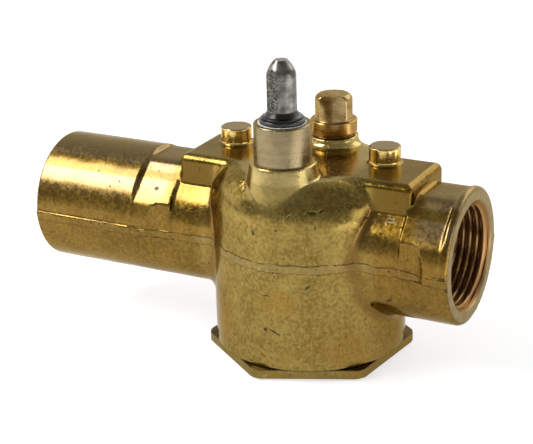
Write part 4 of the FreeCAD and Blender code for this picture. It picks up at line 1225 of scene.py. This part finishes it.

# %% [markdown]
# The shares kept on the points say where recesses, roots and edges are. The other tones go by
# place: soft steps along the height, to the side or away from an axis, multiplied together. They
# paint shade on the ports and on the slab's top and front, and a sheen or highlight on the ports'
# crowns, the boss, the plateau and the pins. A painted image could do the same, but it would have
# to be unwrapped and would blur close by.

# %% Masks by place
ACROSS_X = (0, 1, 1)
ACROSS_Z = (1, 1, 0)
# Where the painted shade on the ports starts.
PORT_SIDE = (22.0, 26.0)
CROWN_SIDE = (32.0, 36.0)
CROWN_HEIGHT = (36.0, 42.0)
BOSS_REACH = (10.5, 8.5)
BOSS_HEIGHT = (38.0, 43.0)
TOP_FROM = (SLAB_TOP - 0.3, SLAB_TOP - 0.15)
TOP_TO = (SLAB_TOP + 0.3, SLAB_TOP + 0.15)
POST_HALO = (9.0, 14.0)
PLATEAU_SIDE = (17.0, 13.0)
FRONT_FACE = (-8.0, -9.0)
FRONT_SIDE = (21.0, 22.5)
FRONT_FROM = (SLAB_LOW - 0.2, SLAB_LOW + 0.4)
FRONT_TO = (SLAB_TOP - 0.5, SLAB_TOP - 1.2)
PIN_FROM = (SLAB_TOP + 0.2, SLAB_TOP + 0.7)
PIN_SIDE = (12.5, 14.0)


def away_from_axis(r, place, centre, keep):
    """Distance from an axis through the centre; keep is 0 along the axis and 1 across it."""
    return r.vectors("LENGTH", r.vectors("MULTIPLY", r.vectors("SUBTRACT", place, centre), keep), output=1)


def kept_share(r, name, wander, fray, start, end):
    """A soft step of a share that was kept on the points, its border frayed by the noise."""
    share = r.add("ShaderNodeAttribute", {}, "Fac", attribute_name=name)
    return r.step(r.plus(share, r.times(wander, fray)), start, end)


def all_of(r, *masks):
    """The product of masks, which is 1 only where each of them is."""
    total = masks[0]
    for mask in masks[1:]:
        total = r.times(total, mask)
    return total


def place_layers(r, place, tone):
    """Mask, share and colour of the painted shade on ports and slab's faces and the painted sheen on
    crowns, boss, plateau and pins, lowest layer first.
    """
    across, ahead, up = r.parts(place)
    aside = r.maths("ABSOLUTE", across)
    from_stem = away_from_axis(r, place, (0, STEM_Y, 0), ACROSS_Z)
    from_post = away_from_axis(r, place, (0, POST_Y, 0), ACROSS_Z)
    above = r.step(up, *TOP_FROM)
    # Painted highlight: the ports' crowns paler where the soft box is mirrored.
    crown = all_of(r, r.step(aside, *CROWN_SIDE), r.step(up, *CROWN_HEIGHT))
    # Painted sheen: the boss paler.
    boss = all_of(r, r.step(from_stem, *BOSS_REACH), r.step(up, *BOSS_HEIGHT))
    # Painted shade: the slab's flat top darker, away from the post.
    top = all_of(r, above, r.step(up, *TOP_TO), r.step(from_post, *POST_HALO))
    # Painted sheen: the flat top near the middle paler.
    plateau = all_of(r, above, r.step(aside, *PLATEAU_SIDE))
    # Painted shade: the slab's front faces darker.
    front = all_of(r, r.step(ahead, *FRONT_FACE), r.step(aside, *FRONT_SIDE),
                   r.step(up, *FRONT_FROM), r.step(up, *FRONT_TO))
    # Painted reflection: the pins' sides much paler.
    pins = all_of(r, r.step(up, *PIN_FROM), r.step(aside, *PIN_SIDE))
    # Painted shade: the ports darker and browner than the barrel.
    return [(r.step(aside, *PORT_SIDE), 0.8, r.blend(tone, PORT_DARK, PORT_LIGHT)),
            (crown, 0.55, CROWN_PALE), (boss, 0.8, BOSS_PALE), (top, 0.65, TOP_FACE),
            (plateau, 0.6, PLATEAU_PALE), (front, 0.8, SLAB_SHADE), (pins, 0.9, PIN_GOLD)]

# %% [markdown]
# The colour is built up in layers: dirt and wear, and painted shade, sheen and glints. Each layer
# has a mask, the share of itself that it gives, and a colour, and each is blended over those before
# it. One long sum would do the same, but a list can be read and put in another order.

# %% Forged brass
SEAM_HEIGHT = 3.5
PITTING = 0.02
# The right side is painted warmer, as reflected light.
WARM_SIDE = (16.0, 30.0)
SCRATCHED_SIDE = (26.0, 20.0)
PIN_FACE = (PIN_TOP - 0.25, PIN_TOP - 0.1)


def forging_layers(r, place, tone, wander, band, lines):
    """What lies over the forging's skin: band, painted shade in roots and recesses, painted light by place,
    painted edge glints, faced tops, stains and lines.
    """
    up = r.parts(place)[2]
    # Painted shade in the roots and in the recesses.
    root = kept_share(r, "root", wander, 0.8, 0.15, 0.85)
    recess = kept_share(r, "hollow", wander, 0.3, 0.22, 0.9)
    # A painted pale glint along outer edges.
    worn = kept_share(r, "edge", wander, 0.5, 0.25, 0.6)
    below = [(band, 0.3, BRASS_BAND), (root, 0.7, ROOT_BROWN), (recess, 0.7, STAIN)]
    above = [(worn, 0.55, POLISHED), (r.step(up, *PIN_FACE), 1.0, FACED),
             (add_marks(r, place, RED_MARKS), 0.8, RED_STAIN), (lines, 0.9, LINE_BROWN)]
    return below + place_layers(r, place, tone) + above


def make_forged(name, dark, light, on_forging):
    """The skin, each layer blended over it, and grime over all; the forging has more of them."""
    material, shader, r, place = new_finish(name, 1.0, coat=0.25, edge=BRASS_EDGE)
    skin = r.call(skin_group, {"Place": place, "Pitting": PITTING})
    across, _, up = r.parts(place)
    scratches = r.times(r.call(scratch_group, {"Place": place})["Lines"], r.step(across, *SCRATCHED_SIDE))
    # Besides the skin's warm patches, the right side gets painted warmth, as reflected light.
    warmth = r.most(skin["Warmth"], r.step(across, *WARM_SIDE))
    tone = r.step(skin["Tone"], 0.30, 0.70)
    layers = [(warmth, 0.5, BRASS_WARM), (scratches, 0.2, POLISHED)]
    grime = r.times(skin["Pits"], 0.85)
    height = r.minus(skin["Height"], r.times(scratches, 0.012))
    rough = r.step(skin["Tone"], 0.35, 0.65, 0.14, 0.26)
    seam = r.step(up, FOOT - 0.35, FOOT - 0.1, 0.0, 0.7)
    if on_forging:
        wander = r.minus(r.noise(place, 0.28, 3.0), 0.5)
        band, lines = parting_masks(r, place, up, wander)
        layers += forging_layers(r, place, tone, wander, band, lines)
        grime = r.most(grime, r.times(lines, 0.3))
        grime = r.most(grime, r.times(add_marks(r, place, DARK_MARKS), 0.9))
        height = r.minus(height, r.times(grime, 0.08))
        rough = r.plus(rough, r.step(r.maths("ABSOLUTE", across), 24.0, 30.0, 0.0, 0.07))
        seam = r.step(up, SEAM_HEIGHT - 0.5, SEAM_HEIGHT, 0.9, 0.0)
    colour = r.blend(tone, dark, light)
    for mask, share, tint in layers:
        colour = r.blend(r.times(mask, share), colour, tint)
    grime = r.most(grime, seam)
    r.fill(shader, {"Base Color": r.blend(r.times(grime, 0.92), colour, SOOT),
                    "Roughness": r.plus(rough, r.times(grime, 0.3))})
    give_bump(r, shader, height)
    return material


forged_brass = make_forged("forged_brass_skin", BRASS_DARK, BRASS_LIGHT, True)
cap_brass = make_forged("cap_brass_skin", CAP_DARK, CAP_LIGHT, False)
print("forged brass", len(forged_brass.node_tree.nodes), "nodes")

# %% [markdown]
# Turned brass is paler and pinker than the skin, with the cutter's rings in it. On a face the
# rings go by the distance from the axis, on a cylinder by the distance along it, and the sum of
# the two serves both. The thread's roots hold old jointing paste, so they are browner than its
# crests.

# %% Turned brass
TURNED_DARK = (0.21, 0.160, 0.088, 1)
TURNED_LIGHT = (0.30, 0.245, 0.150, 1)
POST_DARK = (0.26, 0.165, 0.06, 1)
POST_LIGHT = (0.42, 0.30, 0.135, 1)
# Painted reflection: deeper orange on the post below its collar's top.
POST_TARNISH = (0.36, 0.20, 0.045, 1)
SPIGOT_DARK = (0.205, 0.155, 0.078, 1)
SPIGOT_LIGHT = (0.28, 0.22, 0.12, 1)
THREAD_BROWN = (0.40, 0.215, 0.070, 1)
PASTE = (0.24, 0.105, 0.030, 1)


def make_turned(name, dark, light, centre, keep, along, roughness, threads=False, tarnish=None):
    """Turning marks by radius and by length added, with a little of the scratches."""
    material, shader, r, place = new_finish(name, 1.0, coat=0.1, edge=BRASS_EDGE)
    radius = away_from_axis(r, place, centre, keep)
    length = r.parts(place)[along]
    rings = r.call(turning_group, {"Travel": r.plus(radius, length)})
    clouds = r.noise(place, 0.35, 3.0)
    tone = r.plus(r.times(rings["Tone"], 0.6), r.times(clouds, 0.4))
    colour = r.blend(r.step(tone, 0.38, 0.62), dark, light)
    lines = r.call(scratch_group, {"Place": place})["Lines"]
    height = r.minus(rings["Height"], r.times(lines, 0.02))
    rough = r.step(tone, 0.35, 0.65, roughness - 0.05, roughness + 0.07)
    # Painted reflection: below the collar's top, the post is deeper orange.
    if tarnish is not None:
        low_part = r.step(length, COLLAR_TOP + 0.1, COLLAR_TOP - 0.3)
        colour = r.blend(r.times(low_part, 0.7), colour, tarnish)
    if threads:
        inside = r.step(radius, MOUTH_RADIUS - 0.35, MOUTH_RADIUS - 0.15, 1.0, 0.0)
        root = r.times(inside, r.step(radius, THREAD_RADIUS + 0.25, THREAD_RADIUS + 0.6))
        colour = r.blend(r.times(inside, 0.75), colour, THREAD_BROWN)
        colour = r.blend(r.times(root, 0.8), colour, PASTE)
        rough = r.plus(rough, r.times(inside, 0.12))
    r.fill(shader, {"Base Color": colour, "Roughness": rough})
    give_bump(r, shader, height)
    return material


ports_brass = make_turned("ports_turned_brass", TURNED_DARK, TURNED_LIGHT, (0, 0, PORT_HEIGHT),
                          ACROSS_X, 0, 0.27, threads=True)
spigot_brass = make_turned("spigot_turned_brass", SPIGOT_DARK, SPIGOT_LIGHT, (0, STEM_Y, 0),
                           ACROSS_Z, 2, 0.26)
post_brass = make_turned("post_turned_brass", POST_DARK, POST_LIGHT, (0, POST_Y, 0), ACROSS_Z, 2, 0.18,
                         tarnish=POST_TARNISH)
print("turned finishes", [made.name for made in (ports_brass, spigot_brass, post_brass)])

# %% [markdown]
# The stem is dark turned steel, polished by its seal. Its flat was milled and then bruised by the
# actuator, so it is rougher and speckled. A point is on the flat where it lies as far out towards
# the flat's side as the flat does.

# %% Steel
STEEL_DARK = (0.075, 0.073, 0.066, 1)
STEEL_LIGHT = (0.22, 0.21, 0.18, 1)
INNER_DARK = (0.22, 0.21, 0.20, 1)
INNER_LIGHT = (0.45, 0.44, 0.42, 1)
SPECKLE = (0.035, 0.033, 0.030, 1)


def make_steel(name, dark, light, flat=None):
    """Turning marks by height, and on the flat a speckle of small cells with more roughness."""
    material, shader, r, place = new_finish(name, 1.0)
    up = r.parts(place)[2]
    rings = r.call(turning_group, {"Travel": up})
    clouds = r.noise(place, 0.5, 3.0)
    tone = r.plus(r.times(rings["Tone"], 0.5), r.times(clouds, 0.5))
    colour = r.blend(r.step(tone, 0.38, 0.62), dark, light)
    rough = r.step(tone, 0.35, 0.65, 0.2, 0.33)
    height = rings["Height"]
    if flat is not None:
        facing = (math.cos(flat), math.sin(flat), 0)
        out = r.vectors("DOT_PRODUCT", r.vectors("SUBTRACT", place, (0, STEM_Y, 0)), facing, output=1)
        milled = r.times(r.step(out, STEM_FLAT - 0.12, STEM_FLAT - 0.05),
                         r.step(up, SHOULDER_TOP + 0.2, SHOULDER_TOP + 0.5))
        speck = r.step(r.noise(place, 2.2, 3.0), 0.42, 0.6)
        bruised = r.times(milled, speck)
        colour = r.blend(bruised, colour, SPECKLE)
        rough = r.plus(rough, r.times(milled, 0.22))
        height = r.plus(height, r.times(bruised, -0.08))
        flare = r.step(up, SHOULDER_TOP + 0.4, SHOULDER_TOP - 0.2)
        colour = r.blend(r.times(flare, 0.93), colour, SPECKLE)
    r.fill(shader, {"Base Color": colour, "Roughness": rough})
    give_bump(r, shader, height)
    return material


stem_steel = make_steel("stem_steel", STEEL_DARK, STEEL_LIGHT, STEM_FLAT_TURN)
inner_steel = make_steel("inner_steel", INNER_DARK, INNER_LIGHT)
print("steel", stem_steel.name, inner_steel.name)

# %% [markdown]
# The seals are black moulded rubber with a bloom of talc, and the bushes are turned from pale
# plastic. Neither is a metal, so their colour is what a plain light shows.

# %% Rubber and plastic
RUBBER_DARK = (0.008, 0.008, 0.008, 1)
RUBBER_LIGHT = (0.022, 0.021, 0.020, 1)
PLASTIC_DARK = (0.68, 0.66, 0.60, 1)
PLASTIC_LIGHT = (0.80, 0.78, 0.72, 1)


def make_soft(name, dark, light, roughness, bump):
    """Tones and roughness by a cloudy noise, and the bump by a finer one."""
    material, shader, r, place = new_finish(name, 0.0)
    bloom = r.noise(place, 0.6, 4.0)
    grain = r.noise(place, 3.0, 2.0)
    r.fill(shader, {"Base Color": r.blend(r.step(bloom, 0.4, 0.65), dark, light),
                    "Roughness": r.step(bloom, 0.35, 0.65, roughness - 0.08, roughness + 0.1)})
    give_bump(r, shader, r.times(grain, bump))
    return material


rubber = make_soft("seal_rubber", RUBBER_DARK, RUBBER_LIGHT, 0.26, 0.02)
plastic = make_soft("bush_plastic", PLASTIC_DARK, PLASTIC_LIGHT, 0.42, 0.015)
print("soft finishes", rubber.name, plastic.name)

# %% [markdown]
# The drawn pieces get their finishes one by one. The hidden ones keep the solids' own meshes, and
# only the material in each slot is changed, so they need no mesh of their own.

# %% Give each piece its finish
for piece, material in ((forging, forged_brass), (cap, cap_brass), (right_end, ports_brass),
                        (left_end, ports_brass), (spigot, spigot_brass), (stem, stem_steel),
                        (wiper, rubber), (post, post_brass)):
    piece.data.materials.append(material)
INNER_FINISHES = {
    rubber: ("bottom_cap_seal", "lower_oring", "upper_oring", "plug"),
    plastic: ("lower_bush", "oring_spacer", "upper_bush"),
    inner_steel: ("thrust_washer", "retaining_ring", "arm_pin", "plug_washer", "plug_rivet"),
    spigot_brass: ("seat_nozzle", "paddle_arm"),
}
for material, names in INNER_FINISHES.items():
    for name in names:
        for slot_of_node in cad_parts[name].material_slots:
            slot_of_node.material = material
print("finished", len(bpy.data.materials), "materials")

# %% [markdown]
# The floor is a plain pale sheet that runs on past the view. Light Path lets the camera, and metal
# that mirrors it, see it as white, while a diffuse part still takes the part's shadow. A floor that
# only glows would show no shadow, and one that only reflects would turn grey far off.

# %% Floor
FLOOR_SIZE = 12
FLOOR_GLOW = 0.66
FLOOR_ALBEDO = 0.50


def make_floor():
    """A level sheet: a dull diffuse colour plus a glow for camera, glossy and transmission rays."""
    corners = np.array([(-1, -1, 0), (1, -1, 0), (1, 1, 0), (-1, 1, 0)]) * FLOOR_SIZE / 2
    mesh = bpy.data.meshes.new("floor")
    mesh.from_pydata(corners.tolist(), [], [(0, 1, 2, 3)])
    sheet = bpy.data.objects.new("floor", mesh)
    scene.collection.objects.link(sheet)
    material, shader, r, _ = new_finish("floor_sheet", 0.0)
    shader.inputs["Base Color"].default_value = (FLOOR_ALBEDO, FLOOR_ALBEDO, FLOOR_ALBEDO, 1)
    shader.inputs["Roughness"].default_value = 1.0
    shader.inputs["Specular IOR Level"].default_value = 0.0
    shader.inputs["Emission Color"].default_value = (1, 1, 1, 1)
    path = r.tree.nodes.new("ShaderNodeLightPath").outputs
    seen = r.most(path["Is Camera Ray"], path["Is Glossy Ray"])
    seen = r.most(seen, path["Is Transmission Ray"])
    r.fill(shader, {"Emission Strength": r.times(seen, FLOOR_GLOW)})
    mesh.materials.append(material)
    print("floor", FLOOR_SIZE, "metres wide")


make_floor()

# %% [markdown]
# Metal needs something to mirror. One large soft box hangs at the front left, pale panels stand
# behind and at both sides, and a low card lies at the right. A wide soft light above only lifts
# what is not metal. Each is set by its radiance, which is how bright it looks in a mirror.

# %% Soft boxes
PART_MIDDLE = (-0.01, 0, 0.035)
LAMPS = (
    ("front_left_box", (-0.35, -0.2425, 0.40), (-0.35, -0.2425, 0), (0.26, 0.385), 13.0, True),
    ("back_panel", (0.25, 0.72, 0.52), PART_MIDDLE, (0.9, 0.5), 1.9, True),
    ("right_card", (0.21, -0.02, 0.004), (0.21, -0.02, 1), (0.18, 0.20), 1.9, True),
    ("left_panel", (-0.90, -0.15, 0.30), PART_MIDDLE, (0.6, 0.4), 1.1, True),
    ("right_panel", (0.90, -0.02, 0.13), PART_MIDDLE, (0.45, 0.26), 1.9, True),
    ("overhead_fill", (0, 0, 1.6), (0, 0, 0), (1.6, 1.6), 0.25, False),
)


def soft_box(name, place, aim, size, radiance, mirrored):
    """An area light; its power is the radiance times pi times its area."""
    light = bpy.data.lights.new(name, "AREA")
    light.shape = "RECTANGLE"
    light.size, light.size_y = size
    light.energy = radiance * math.pi * size[0] * size[1]
    lamp = bpy.data.objects.new(name, light)
    scene.collection.objects.link(lamp)
    lamp.location = place
    lamp.rotation_euler = (Vector(place) - Vector(aim)).to_track_quat("Z", "Y").to_euler()
    lamp.visible_camera = False
    lamp.visible_glossy = mirrored
    print(name, round(light.energy, 2), "watts")


for lamp_row in LAMPS:
    soft_box(*lamp_row)

# %% [markdown]
# The room beyond is the world. It is brighter behind the part than in front, and dark overhead, so
# that round surfaces have a light and a dark side. An even grey would leave the metal flat.

# %% Room
ROOM_DIM = 0.32
ROOM_HORIZON = 0.40
ROOM_BEHIND = 0.50


def make_room():
    """A grey by direction: dim, plus a soft step to the back and another down to the horizon."""
    world = bpy.data.worlds.new("studio")
    scene.world = world
    world.use_nodes = True
    r = Recipe(world.node_tree)
    direction = world.node_tree.nodes.new("ShaderNodeTexCoord").outputs["Generated"]
    _, ahead, up = r.parts(direction)
    behind = r.step(ahead, -0.1, 0.5)
    low_down = r.step(up, 0.45, 0.85, 1.0, 0.35)
    level = r.times(r.times(behind, ROOM_BEHIND), low_down)
    level = r.plus(level, r.step(up, -0.05, 0.40, ROOM_HORIZON, 0.0))
    background = world.node_tree.nodes["Background"]
    r.fill(background, {"Strength": r.plus(level, ROOM_DIM)})
    background.inputs["Color"].default_value = (1, 1, 1, 1)
    print("room", len(world.node_tree.nodes), "nodes")


make_room()
scene.view_settings.view_transform = "Standard"
